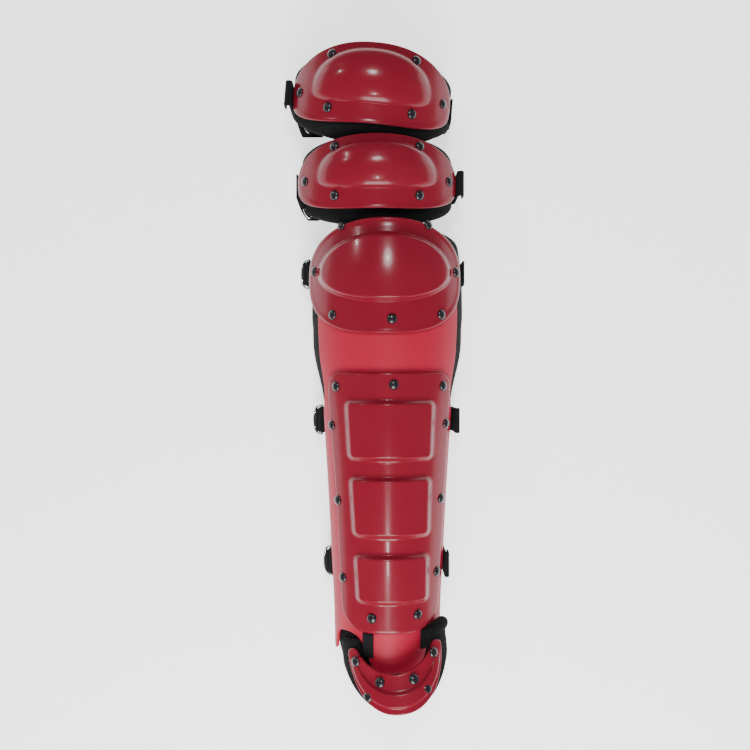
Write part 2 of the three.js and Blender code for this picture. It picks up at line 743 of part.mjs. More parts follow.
const plateHeight = (x, y) => archHeight(archAt(y), x, plateOut);
const platePlaces = PLATE_RIVETS.map(({ across, along }) => ({
  x: across * PLATE_HALF,
  y: plateTop - along * PLATE_LENGTH,
}));
rivet(guard, 'shin_plate', wallFromGrids(plateSkin(plateOut), plateSkin(plateIn)), 'gloss', plateHeight,
  platePlaces, PLATE_WALL);

// Lower knee cap, on the shell's upper end

const lower = new THREE.Group();
lower.position.set(LOWER_SHIFT, lowerY, 0);
guard.add(lower);
const lowerOutline = {
  half: LOWER_HALF,
  top: LOWER_TOP,
  bottom: LOWER_BOTTOM,
  topPower: 2.4,
  bottomPower: 2.8,
  topBow: 2,
  bottomBow: 0,
};
const lowerDome = {
  half: LOWER_DOME_HALF,
  top: LOWER_DOME_TOP,
  bottom: LOWER_DOME_BOTTOM,
  topPower: 2.1,
  bottomPower: 2.1,
  rise: LOWER_RISE,
  flatness: 3,
};
const LOWER_RIVETS = [
  { across: -0.545, along: 0.88 },
  { across: 0.555, along: 0.88 },
  { across: -0.915, along: 0.07 },
  { across: 0.93, along: 0.04 },
  { across: -0.66, along: -0.685 },
  { across: 0.72, along: -0.685 },
  { across: 0.09, along: -0.77 },
];
const lowerHeight = (out) => (x, y) => archHeight(archAt(lowerY + y), x + LOWER_SHIFT, out)
  - bow(lowerOutline, y) + domeRise(lowerDome, x, y);
const lowerCap = wallFromRings(capRings(lowerOutline, lowerDome, lowerHeight(plateOut)),
  capRings(lowerOutline, lowerDome, lowerHeight(plateIn)));
rivet(lower, 'cap_lower', lowerCap, 'gloss', lowerHeight(plateOut), rivetPlaces(lowerOutline, LOWER_RIVETS),
  CAP_WALL);

// Foot plate, a bent crescent with a raised step, and the pad behind it

const foot = new THREE.Group();
foot.position.set(FOOT_SHIFT, footY, 0);
foot.rotation.z = FOOT_TURN * Math.PI / 180;
guard.add(foot);
const footArch = { half: FOOT_ARCH_HALF, rise: FOOT_ARCH_RISE, foot: FOOT_CREST - FOOT_ARCH_RISE };
const footHeight = (out) => (x, y) => {
  const past = y + FOOT_NOTCH;
  return archHeight(footArch, x, out) - FOOT_SLOPE * (past < 0 ? past : ANKLE_EASE * past);
};

// A crescent between a notch curve and an outer curve, in rows from one to the other
function crescent(notch, outer, rows, columns, height, step) {
  return rows.map((share) => spread(-Math.PI / 2, Math.PI / 2, columns).map((angle) => {
    const curve = ({ half, depth, left, right, power }) => {
      const tip = angle < 0 ? left : right;
      const across = Math.sin(angle);
      const down = Math.max(0, Math.cos(angle));
      const reach = (Math.abs(across) ** power + down ** power) ** (-1 / power);
      return { x: half * across * reach, y: tip * (1 - down) - depth * down * reach };
    };
    const from = curve(notch);
    const to = curve(outer);
    const x = from.x + (to.x - from.x) * share;
    const y = from.y + (to.y - from.y) * share;
    return new THREE.Vector3(x, y, height(x, y) + (step ? step(share) : 0));
  }));
}

const footStep = (share) => (share > 0.48 && share < 0.8 ? FOOT_STEP : 0);
const footNotch = { half: FOOT_NOTCH_HALF, depth: FOOT_NOTCH, left: FOOT_TIP, right: FOOT_TIP, power: 1.8 };
const footOuter = { half: FOOT_HALF, depth: FOOT_DEPTH, left: FOOT_TIP, right: FOOT_TIP, power: 2.4 };
const footRows = [0, 0.44, 0.5, 0.78, 0.84, 1];
const footPlate = wallFromGrids(
  crescent(footNotch, footOuter, footRows, 16, footHeight(0), footStep),
  crescent(footNotch, footOuter, footRows, 16, footHeight(-PLATE_WALL), footStep),
);
const FOOT_RIVETS = [
  { across: -0.84, along: 0.13 },
  { across: 0.80, along: 0.10 },
  { across: -0.37, along: 0.46 },
  { across: 0.33, along: 0.46 },
  { across: -0.64, along: 0.70 },
  { across: 0.58, along: 0.66 },
];
rivet(foot, 'foot_plate', footPlate, 'gloss', footHeight(0), FOOT_RIVETS.map(({ across, along }) => ({
  x: across * FOOT_HALF,
  y: -along * FOOT_DEPTH,
})), PLATE_WALL);
const padTips = { left: PAD_TIP_LEFT, right: PAD_TIP_RIGHT };
const padNotch = {
  half: FOOT_NOTCH_HALF - PAD_NOTCH_IN,
  depth: FOOT_NOTCH + PAD_NOTCH_DROP,
  power: 3.4,
  ...padTips,
};
const padOuter = { half: FOOT_HALF + FOOT_MARGIN, depth: FOOT_DEPTH + 1, power: 2.4, ...padTips };
const footPadOut = -PLATE_WALL - SEAM;
add(foot, 'foot_pad', wallFromGrids(
  crescent(padNotch, padOuter, [0, 0.35, 0.7, 1], 16, footHeight(footPadOut)),
  crescent(padNotch, padOuter, [0, 0.35, 0.7, 1], 16, footHeight(footPadOut - FOOT_PAD_WALL)),
), 'padding');

// Webbing that ties the foot pad to the shell on both sides of the tongue

function footWeb(name, x, top, bottom) {
  const skin = (out) => spread(top, bottom, 4).map((y) => [-0.5, 0.5].map((side) => {
    const place = x + side * FOOT_WEB_WIDTH;
    return new THREE.Vector3(place, y, archHeight(archAt(y), place, out));
  }));
  add(guard, name, wallFromGrids(skin(shellOut + SEAM + WEB_THICK * 0.6), skin(shellOut + SEAM)), 'webbing');
}

const FOOT_WEBS = [
  { side: 'left', x: -19, top: -1, bottom: -18 },
  { side: 'right', x: 37, top: 2, bottom: -12 },
];
for (const { side, x, top, bottom } of FOOT_WEBS) {
  footWeb(`foot_webbing_${side}`, x, plateBottom + top, plateBottom + bottom);
}

// Straps, tabs and rings of the knee and the shin. y is measured from the shin plate's top edge.
const SHIN_STRAPS = [
  { name: 'knee', y: lowerY + 5, over: 0, reach: STRAP_LOW },
  { name: 'calf', y: plateTop - 0.19 * PLATE_LENGTH, over: shellOut, reach: STRAP_REACH },
  { name: 'ankle', y: plateTop - 0.765 * PLATE_LENGTH, over: shellOut, reach: STRAP_REACH },
];
const EYE_GAP = 0.35;
const HOOK_DROP = 13.2;      // from the edge of the shell or cap down to the end of the strap under it
const RING_CLEAR = 2;        // height of a tab's eye over the end of its strap

// Webbing tab: down the side of the shell and round the straight bar of its ring
function tabSolid(eyeX, eyeZ, width) {
  const eye = RING_WIRE + EYE_GAP;
  const wrap = eye + WEB_THICK * 0.8;
  const joint = Math.acos((wrap - WEB_THICK) / wrap);
  const shape = new THREE.Shape();
  shape.moveTo(eyeX + wrap, eyeZ);
  shape.lineTo(eyeX + wrap, eyeZ + TAB_LENGTH);
  shape.lineTo(eyeX + wrap - WEB_THICK, eyeZ + TAB_LENGTH);
  shape.absarc(eyeX, eyeZ, wrap, joint, 2 * Math.PI, false);
  const hole = new THREE.Path();
  hole.absarc(eyeX, eyeZ, eye, 0, 2 * Math.PI, true);
  shape.holes.push(hole);
  const options = { depth: width, bevelEnabled: false, curveSegments: 6 };
  return new THREE.ExtrudeGeometry(shape, options).rotateX(Math.PI / 2).translate(0, width / 2, 0);
}

// D-ring with its straight bar along the guard, hanging out and down from the bar
function ringSolid(barX, barZ, y) {
  const halfBar = WEB_WIDTH / 2 + 2;
  const drop = RING_DROP * Math.PI / 180;
  const out = new THREE.Vector3(-Math.cos(drop), 0, -Math.sin(drop));
  const flat = new THREE.Vector3(-Math.sin(drop), 0, Math.cos(drop));
  const pointAt = (share) => {
    const angle = 2 * Math.PI * share;
    const bowed = Math.max(0, Math.cos(angle)) ** 0.7;
    const along = halfBar * Math.sign(Math.sin(angle)) * Math.abs(Math.sin(angle)) ** 0.6;
    return new THREE.Vector3(barX, y + along, barZ).addScaledVector(out, RING_DEPTH * bowed);
  };
  return wireLoop(pointAt, flat, RING_WIRE, 16, 6);
}

for (const { name, y, over, reach } of SHIN_STRAPS) {
  const half = Math.max(archAt(y - WEB_WIDTH / 2).half, archAt(y + WEB_WIDTH / 2).half);
  const edge = archAt(y).foot;
  const hookEnd = Math.min(STRAP_HOOK_END, edge - HOOK_DROP);
  const strapEnd = over > 0 ? reach : Math.min(reach, edge + SEAM);
  add(guard, `strap_${name}`, strapSolid(half + over, y, hookEnd, strapEnd), 'webbing');
  const wrap = RING_WIRE + EYE_GAP + WEB_THICK * 0.8;
  const eyeX = -half - SEAM - wrap;
  const eyeZ = hookEnd + wrap + RING_CLEAR;
  add(guard, `tab_${name}`, tabSolid(eyeX, eyeZ, WEB_WIDTH).translate(0, y, 0), 'webbing');
  add(guard, `ring_${name}`, ringSolid(eyeX, eyeZ, y), 'chrome');
}

// The origin goes under the middle of the whole guard
guard.updateMatrixWorld(true);
const box = new THREE.Box3().setFromObject(guard, true);
guard.position.set(-(box.min.x + box.max.x) / 2, -(box.min.y + box.max.y) / 2, -box.min.z);

export default guard;
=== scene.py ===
"""Visual model of a catcher's leg guard lying on its back, dressed over its CAD nodes."""

import logging
import math
from dataclasses import dataclass, replace
from enum import Enum
from typing import Callable, Iterable, Sequence

import bmesh
import bpy
from mathutils import Matrix, Vector


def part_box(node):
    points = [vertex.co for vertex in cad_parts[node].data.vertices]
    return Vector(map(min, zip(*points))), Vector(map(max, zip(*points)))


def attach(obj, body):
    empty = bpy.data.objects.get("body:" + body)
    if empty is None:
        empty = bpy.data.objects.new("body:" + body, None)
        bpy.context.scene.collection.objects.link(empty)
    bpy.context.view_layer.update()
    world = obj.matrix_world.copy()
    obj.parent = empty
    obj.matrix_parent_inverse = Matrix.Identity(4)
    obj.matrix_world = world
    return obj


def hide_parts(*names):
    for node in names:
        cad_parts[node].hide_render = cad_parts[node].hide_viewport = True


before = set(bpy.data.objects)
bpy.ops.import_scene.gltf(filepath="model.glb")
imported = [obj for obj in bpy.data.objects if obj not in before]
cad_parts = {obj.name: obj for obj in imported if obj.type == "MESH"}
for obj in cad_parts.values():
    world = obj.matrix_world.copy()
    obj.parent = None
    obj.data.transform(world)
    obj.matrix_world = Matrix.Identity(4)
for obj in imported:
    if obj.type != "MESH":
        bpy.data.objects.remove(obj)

LOG = logging.getLogger("leg_guard")
MM = 0.001
WELD = 0.001             # points closer than this, in millimetres, are made one
FAR = 99.0               # stands for a distance to the edge from the very middle

Colour = tuple[float, float, float, float]
Point = tuple[float, float, float]
Table = Sequence[tuple[float, float]]
Placer = Callable[[float, float], Vector]
Height = Callable[[float, float], float]


class Slot(Enum):
    """Material slots of the guard."""

    GLOSS = "gloss_plate"
    SATIN = "satin_shell"
    PADDING = "padding"
    WEBBING = "webbing"
    RIVETS = "rivets"
    CHROME = "chrome_wire"


def smoothstep(low: float, high: float, value: float) -> float:
    """Smooth step between two values.

    Args:
        low: the value that gives 0.
        high: the value that gives 1. It may be the lower one.
        value: the value to place between them.

    Returns:
        A share from 0 to 1.
    """
    share = min(1.0, max(0.0, (value - low) / (high - low)))
    return share * share * (3 - 2 * share)


def soft_floor(value: float, softness: float) -> float:
    """The value where it is over zero, turning smoothly into zero below it."""
    return 0.5 * (value + math.sqrt(value * value + softness * softness))


def rounded(distance: float, radius: float) -> float:
    """How far a face drops near an edge that is rounded with a radius."""
    into = max(0.0, 1 - max(0.0, distance) / radius)
    return radius * (1 - math.sqrt(max(0.0, 1 - into * into)))


def spread(start: float, end: float, count: int) -> list[float]:
    """Evenly spaced values from start to end, both included."""
    return [start + (end - start) * step / count for step in range(count + 1)]


def eased(start: float, end: float, count: int) -> list[float]:
    """Values from start to end that lie closer together near both ends."""
    return [start + (end - start) * 0.5 * (1 - math.cos(math.pi * step / count)) for step in range(count + 1)]


def along_table(rows: Table, at: float) -> float:
    """Value of a table at a place, smooth through its rows and level outside them.

    Args:
        rows: places in rising order, each with its value.
        at: the place to look up.

    Returns:
        The value there.
    """
    at = min(rows[-1][0], max(rows[0][0], at))
    first = max(0, min(len(rows) - 2, sum(1 for row in rows if row[0] < at) - 1))
    (x0, y0), (x1, y1) = rows[first], rows[first + 1]
    before, after = rows[max(first - 1, 0)], rows[min(first + 2, len(rows) - 1)]
    span = x1 - x0
    share = (at - x0) / span
    leave = span * (y1 - before[1]) / (x1 - before[0])
    arrive = span * (after[1] - y0) / (after[0] - x0)
    rest = 1 - share
    return (y0 * (1 + 2 * share) * rest * rest + y1 * (3 - 2 * share) * share * share
            + leave * share * rest * rest - arrive * share * share * rest)


@dataclass(frozen=True)
class Layout:
    """The guard's own axes: x from its middle line, y from the shin plate's top edge, z from the ground."""

    axis_x: float
    plate_top: float
    plate_length: float
    knee_half: float
    knee_crest: float
    liner_top: float
    liner_length: float
    cap_half: float

    @classmethod
    def from_frame(cls) -> "Layout":
        """Layout read from the CAD nodes' boxes, in millimetres.

        Returns:
            The layout.
        """
        liner_low, liner_high = (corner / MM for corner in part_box("liner"))
        plate_low, plate_high = (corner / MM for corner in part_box("shin_plate"))
        cap_low, cap_high = (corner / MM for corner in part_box("cap_middle"))
        return cls(
            axis_x=(liner_low.x + liner_high.x) / 2,
            plate_top=plate_high.y,
            plate_length=plate_high.y - plate_low.y,
            knee_half=(liner_high.x - liner_low.x) / 2,
            knee_crest=liner_high.z,
            liner_top=liner_high.y - plate_high.y,
            liner_length=liner_high.y - liner_low.y,
            cap_half=(cap_high.x - cap_low.x) / 2,
        )

    def matrix(self) -> Matrix:
        """From the guard's axes in millimetres to the row frame in metres."""
        return Matrix.Scale(MM, 4) @ Matrix.Translation((self.axis_x, self.plate_top, 0))


@dataclass(frozen=True)
class Seat:
    """A sub-assembly's own axes in the guard's: its middle and its turn in degrees."""

    x: float = 0.0
    y: float = 0.0
    turn: float = 0.0

    def put(self, x: float, y: float, z: float) -> Vector:
        """A point of the sub-assembly in the guard's axes.

        Args:
            x: place across the sub-assembly.
            y: place along it.
            z: height over the ground.

        Returns:
            The same point across, along and over the guard.
        """
        angle = math.radians(self.turn)
        return Vector((self.x + x * math.cos(angle) - y * math.sin(angle),
                       self.y + x * math.sin(angle) + y * math.cos(angle), z))


@dataclass(frozen=True)
class Section:
    """Arch at one place: half width, rise of its round part and height of its foot."""

    half: float
    rise: float
    foot: float
    roundness: float = 1.43

    def height(self, x: float, out: float) -> float:
        """Height over the ground at a sideways place, moved out by a distance."""
        share = min(0.999, abs(x) / (self.half + out))
        return self.foot + (self.rise + out) * (1 - share * share) ** (self.roundness / 2)

    def point(self, angle: float, y: float, out: float) -> Vector:
        """Point at an angle from the crest, moved out by a distance."""
        up = (self.rise + out) * max(0.0, math.cos(angle)) ** self.roundness
        return Vector(((self.half + out) * math.sin(angle), y, self.foot + up))


class ShinArch:
    """The arch that the liner, the shell and the shin plate share."""

    HALVES = ((0, .93), (.13, 1), (.29, .987), (.39, .87), (.43, .836), (.52, .776), (.67, .724), (.82, .684),
              (.92, .658), (1.07, .640))
    CRESTS = ((0, .935), (.13, 1), (.29, 1), (.39, .985), (.43, .975), (.52, .957), (.67, .918), (.82, .880),
              (.92, .853), (1.07, .815))
    RISE = 0.8

    def __init__(self, layout: Layout) -> None:
        """Args: layout: sizes read from the frame."""
        self.layout = layout

    def along(self, y: float) -> float:
        """Share of the liner's length at a place."""
        return (self.layout.liner_top - y) / self.layout.liner_length

    def at(self, y: float) -> Section:
        """The arch at a place along the guard.

        Args:
            y: the place, from the shin plate's top edge.

        Returns:
            Its section.
        """
        half = self.layout.knee_half * along_table(self.HALVES, self.along(y))
        crest = self.layout.knee_crest * along_table(self.CRESTS, self.along(y))
        return Section(half, self.RISE * half, crest - self.RISE * half)

    def height(self, x: float, y: float, out: float) -> float:
        """Height over the ground of the arch moved out by a distance."""
        return self.at(y).height(x, out)


@dataclass(frozen=True)
class Outline:
    """Rounded outline: an upper and a lower half with a depth and a squareness each."""

    half: float
    top: float
    bottom: float
    top_power: float
    bottom_power: float

    def depth(self, y: float) -> float:
        """Depth of the half that a place is in."""
        return self.top if y >= 0 else self.bottom

    def point(self, angle: float) -> tuple[float, float]:
        """Point of the outline.

        Args:
            angle: the angle from the sideways axis.

        Returns:
            The point's x and y.
        """
        cosine, sine = math.cos(angle), math.sin(angle)
        power = self.top_power if sine >= 0 else self.bottom_power
        reach = (abs(cosine) ** power + abs(sine) ** power) ** (-1 / power)
        return self.half * cosine * reach, self.depth(sine) * sine * reach

    def places(self, shares: Table) -> list[tuple[float, float]]:
        """Places given as shares of the half width and of the depth."""
        return [(across * self.half, along * self.depth(along)) for across, along in shares]

    def share(self, x: float, y: float) -> float:
        """Share of the way from the middle to the edge."""
        power = self.top_power if y >= 0 else self.bottom_power
        return (abs(x / self.half) ** power + abs(y / self.depth(y)) ** power) ** (1 / power)


@dataclass(frozen=True)
class CapBlank:
    """Rings from the middle of a dome over its edge to a cap's outline, the last ones at fixed distances."""

    CREASE = (1.012, 1.035)
    RIM = (1.93, 1.955, 1.975, 1.99, 2.0)

    outline: Outline
    dome: Outline
    rim: float = 1.3
    reach: float = 1.4
    split: float = 1.9

    def rings(self, inside: int, outside: int) -> list[float]:
        """Ring values: 0 to 1 in the dome, 1 to 2 outside it."""
        return [*eased(0, 1, inside), *self.CREASE, *spread(1, self.split, outside)[1:], *self.RIM]

    def from_edge(self, angle: float, ring: float) -> float:
        """Distance of a ring from the cap's edge.

        Args:
            angle: the angle round the cap's middle.
            ring: the ring's value.

        Returns:
            The distance in millimetres.
        """
        if ring >= self.split:
            return self.reach * (2 - ring) / (2 - self.split)
        dome_x, dome_y = self.dome.point(angle)
        edge_x, edge_y = self.outline.point(angle)
        gap = math.hypot(edge_x - dome_x, edge_y - dome_y)
        outer = max(0.0, ring - 1) / (self.split - 1)
        return self.reach + (gap - self.reach) * (1 - outer)

    def point(self, angle: float, ring: float) -> tuple[float, float]:
        """Place of a ring's point.

        Args:
            angle: the angle round the cap's middle.
            ring: the ring's value.

        Returns:
            The point's x and y in the cap's axes.
        """
        dome_x, dome_y = self.dome.point(angle)
        if ring <= 1:
            return dome_x * ring, dome_y * ring
        edge_x, edge_y = self.outline.point(angle)
        share = self.from_edge(angle, ring) / math.hypot(edge_x - dome_x, edge_y - dome_y)
        return edge_x + (dome_x - edge_x) * share, edge_y + (dome_y - edge_y) * share

    def drop(self, angle: float, ring: float) -> float:
        """How far both faces draw in at the rim."""
        return rounded(self.from_edge(angle, ring), self.rim) if ring > 1 else 0.0


class Sculpt:
    """Builds pieces in the guard's axes, and parents them to the root body's empty."""

    SHARP = 0.9              # edges that turn by more than this, in radians, are bevelled
    ROUND = 160              # columns round a cap

    def __init__(self, layout: Layout, finishes: "Finishes") -> None:
        """Args: layout: the guard's axes. finishes: the materials by slot."""
        self.layout = layout
        self.finishes = finishes

    def skin(self, columns: Sequence[float], rows: Sequence[float], place: Placer, rise: Height,
             fall: Height, rim: float = 0.0) -> bmesh.types.BMesh:
        """Closed piece between two skins on both sides of a placed grid.

        Args:
            columns: column values of the grid.
            rows: row values of the grid.
            place: point of the middle surface at a column and a row.
            rise: distance of the outer skin from the middle surface.
            fall: distance of the inner skin from the middle surface.
            rim: width of the bevel along the piece's edge, or 0 for none.

        Returns:
            The piece, still in the guard's axes.
        """
        bm = bmesh.new()
        across, up = len(columns) - 1, len(rows) - 1
        bmesh.ops.create_grid(bm, x_segments=across, y_segments=up, size=1.0)
        surface = bm.loops.layers.uv.new("surface")
        away = bm.verts.layers.float_vector.new("away")
        reach = bm.verts.layers.float_vector.new("reach")
        middle_row, middle_column = rows[len(rows) // 2], columns[len(columns) // 2]
        lengths = [[0.0], [0.0]]
        for step in range(across):
            gap = place(columns[step + 1], middle_row) - place(columns[step], middle_row)
            lengths[0].append(lengths[0][-1] + gap.length * MM)
        for step in range(up):
            gap = place(middle_column, rows[step + 1]) - place(middle_column, rows[step])
            lengths[1].append(lengths[1][-1] + gap.length * MM)
        cell = {vert: (round((vert.co.x + 1) / 2 * across), round((vert.co.y + 1) / 2 * up))
                for vert in bm.verts}
        for face in bm.faces:
            for loop in face.loops:
                column, row = cell[loop.vert]
                loop[surface].uv = (lengths[0][column], lengths[1][row])
        for vert, (column, row) in cell.items():
            vert.co = place(columns[column], rows[row])
            vert[reach] = (rise(columns[column], rows[row]), fall(columns[column], rows[row]), 0)
        bmesh.ops.remove_doubles(bm, verts=bm.verts, dist=WELD)
        bm.normal_update()
        if sum(face.normal.z * face.calc_area() for face in bm.faces) < 0:
            bmesh.ops.reverse_faces(bm, faces=bm.faces)
            bm.normal_update()
        for vert in bm.verts:
            vert[away] = vert.normal
        outer = bm.verts[:]
        made = bmesh.ops.extrude_face_region(bm, geom=bm.faces[:], use_keep_orig=True)
        for vert in (item for item in made["geom"] if isinstance(item, bmesh.types.BMVert)):
            vert.co -= Vector(vert[away]) * vert[reach][1]
        for vert in outer:
            vert.co += Vector(vert[away]) * vert[reach][0]
        bmesh.ops.recalc_face_normals(bm, faces=bm.faces)
        if rim > 0:
            sharp = [edge for edge in bm.edges if edge.is_manifold and edge.calc_face_angle() > self.SHARP]
            bmesh.ops.bevel(bm, geom=sharp, offset=rim, segments=3, profile=0.5, affect="EDGES", material=-1,
                            clamp_overlap=False)
        return bm

    def finish(self, name: str, bm: bmesh.types.BMesh, slot: Slot, *nodes: str) -> bpy.types.Object:
        """Makes an object of a piece, gives it its finish and lets it stand for its CAD nodes.

        Args:
            name: the piece's name, without its ending.
            bm: the piece in the guard's axes. It is freed here.
            slot: the slot of its finish.
            nodes: the CAD nodes that it replaces, or none.

        Returns:
            The object, with its place in its mesh.
        """
        bmesh.ops.transform(bm, matrix=self.layout.matrix(), verts=bm.verts)
        for face in bm.faces:
            face.smooth = True
        mesh = bpy.data.meshes.new(f"{name}_fine")
        bm.to_mesh(mesh)
        bm.free()
        mesh.materials.append(self.finishes.of(slot))
        piece = bpy.data.objects.new(f"{name}_fine", mesh)
        bpy.context.scene.collection.objects.link(piece)
        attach(piece, "root")
        if nodes:
            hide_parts(*nodes)
        LOG.info("built %s with %d faces", piece.name, len(mesh.polygons))
        return piece

    def wire(self, name: str, points: Sequence[Vector], radius: float, closed: bool, slot: Slot,
             *nodes: str) -> bpy.types.Object:
        """Round wire along points, made from a bevelled curve.

        Args:
            name: the piece's name, without its ending.
            points: the wire's middle line in the guard's axes.
            radius: the wire's radius in millimetres.
            closed: whether the line is a loop.
            slot: the slot of its finish.
            nodes: the CAD nodes that it replaces, or none.

        Returns:
            The object.
        """
        curve = bpy.data.curves.new(name, "CURVE")
        curve.dimensions = "3D"
        curve.bevel_depth = radius
        curve.bevel_resolution = 4
        curve.use_fill_caps = not closed
        spline = curve.splines.new("POLY")
        spline.points.add(len(points) - 1)
        for knot, point in zip(spline.points, points):
            knot.co = (*point, 1)
        spline.use_cyclic_u = closed
        holder = bpy.data.objects.new(name + "_line", curve)
        bpy.context.scene.collection.objects.link(holder)
        bm = bmesh.new()
        bm.from_mesh(holder.to_mesh())
        bmesh.ops.remove_doubles(bm, verts=bm.verts, dist=WELD)
        holder.to_mesh_clear()
        bpy.data.objects.remove(holder)
        bpy.data.curves.remove(curve)
        return self.finish(name, bm, slot, *nodes)

    def cap(self, name: str, seat: Seat, blank: CapBlank, height: Height, wall: float, inside: int,
            outside: int) -> None:
        """Moulded cap over a blank, its rim rounded on both faces.

        Args:
            name: the piece's name and its CAD node's.
            seat: the cap's own axes.
            blank: the cap's rings.
            height: height of its face over the ground.
            wall: its wall in millimetres.
            inside: number of rings in the dome.
            outside: number of rings outside it.
        """
        def place(angle: float, ring: float) -> Vector:
            """Point of the cap's face."""
            x, y = blank.point(angle, ring)
            return seat.put(x, y, height(x, y))

        shell = self.skin(spread(0, 2 * math.pi, self.ROUND), blank.rings(inside, outside), place,
                          lambda u, v: -blank.drop(u, v), lambda u, v: wall - blank.drop(u, v))
        self.finish(name, shell, Slot.GLOSS, name)

    def rivets(self, name: str, seat: Seat, surface: Height, places: Iterable[tuple[float, float]]) -> None:
        """Domed rivet heads seated square to a surface.

        Args:
            name: the riveted piece's name.
            seat: its own axes.
            surface: height of its face over the ground.
            places: the rivets' x and y in its axes, in the order of their numbers.
        """
        for number, (x, y) in enumerate(places, 1):
            here = seat.put(x, y, surface(x, y))
            step = RivetSizes.step
            slope = Vector((surface(x - step, y) - surface(x + step, y),
                            surface(x, y - step) - surface(x, y + step), 2 * step)).normalized()
            normal = seat.put(x + slope.x, y + slope.y, surface(x, y) + slope.z) - here
            bm = RivetSizes().head()
            turn = Vector((0, 0, 1)).rotation_difference(normal).to_matrix().to_4x4()
            bmesh.ops.transform(bm, matrix=Matrix.Translation(here) @ turn, verts=bm.verts)
            label = f"rivet_{name}_{number}"
            self.finish(label, bm, Slot.RIVETS, label)


@dataclass(frozen=True)
class RivetSizes:
    """Sizes of a rivet head in millimetres."""

    radius: float = 4.75
    dome: float = 2.3
    edge: float = 0.5
    sink: float = 0.3
    flatness: float = 2.2
    crown: float = 0.62      # power of the dome's fall to its edge
    seam: float = 0.01       # share of the radius that counts as the head's widest row
    step: float = 0.5        # half the stretch over which the plate's slope is read

    def head(self) -> bmesh.types.BMesh:
        """The head, made from a sphere: domed above its widest row and sunk below it.

        Returns:
            The head, its widest row in the plane of z 0.
        """
        bm = bmesh.new()
        bmesh.ops.create_uvsphere(bm, u_segments=28, v_segments=16, radius=1.0)
        for vert in bm.verts:
            flat = math.hypot(vert.co.x, vert.co.y)
            if vert.co.z > 0:
                rise = self.dome * max(0.0, 1 - flat ** self.flatness) ** self.crown
            else:
                rise = -self.sink * (vert.co.z < -self.seam)
            rise += self.edge * (vert.co.z > -self.seam)
            vert.co = Vector((vert.co.x * self.radius, vert.co.y * self.radius, rise))
        return bm


class Graph:
    """Node tree with short calls to add and join nodes."""

    def __init__(self, tree: bpy.types.NodeTree) -> None:
        """Args: tree: the tree to fill."""
        self.tree = tree

    def add(self, kind: str, inputs: dict | None = None, **settings: object) -> bpy.types.Node:
        """Adds a node.

        Args:
            kind: the node's type.
            inputs: values, or sockets to join, by the input's name or number.
            settings: the node's own properties.

        Returns:
            The node.
        """
        node = self.tree.nodes.new(kind)
        for key, value in settings.items():
            setattr(node, key, value)
        for key, value in (inputs or {}).items():
            if isinstance(value, bpy.types.NodeSocket):
                self.tree.links.new(value, node.inputs[key])
            else:
                node.inputs[key].default_value = value
        return node

    def math(self, operation: str, first: object, second: object = 0.0) -> bpy.types.NodeSocket:
        """Result of a math node."""
        return self.add("ShaderNodeMath", {0: first, 1: second}, operation=operation).outputs[0]

    def noise(self, vector: bpy.types.NodeSocket, scale: object, detail: float) -> bpy.types.NodeSocket:
        """Noise value at a vector."""
        inputs = {"Vector": vector, "Scale": scale, "Detail": detail}
        return self.add("ShaderNodeTexNoise", inputs).outputs[0]

    def remap(self, value: object, low: float, high: float, to_low: float,
              to_high: float) -> bpy.types.NodeSocket:
        """Value moved from one range to another and held in it."""
        inputs = {0: value, 1: low, 2: high, 3: to_low, 4: to_high}
        return self.add("ShaderNodeMapRange", inputs).outputs[0]


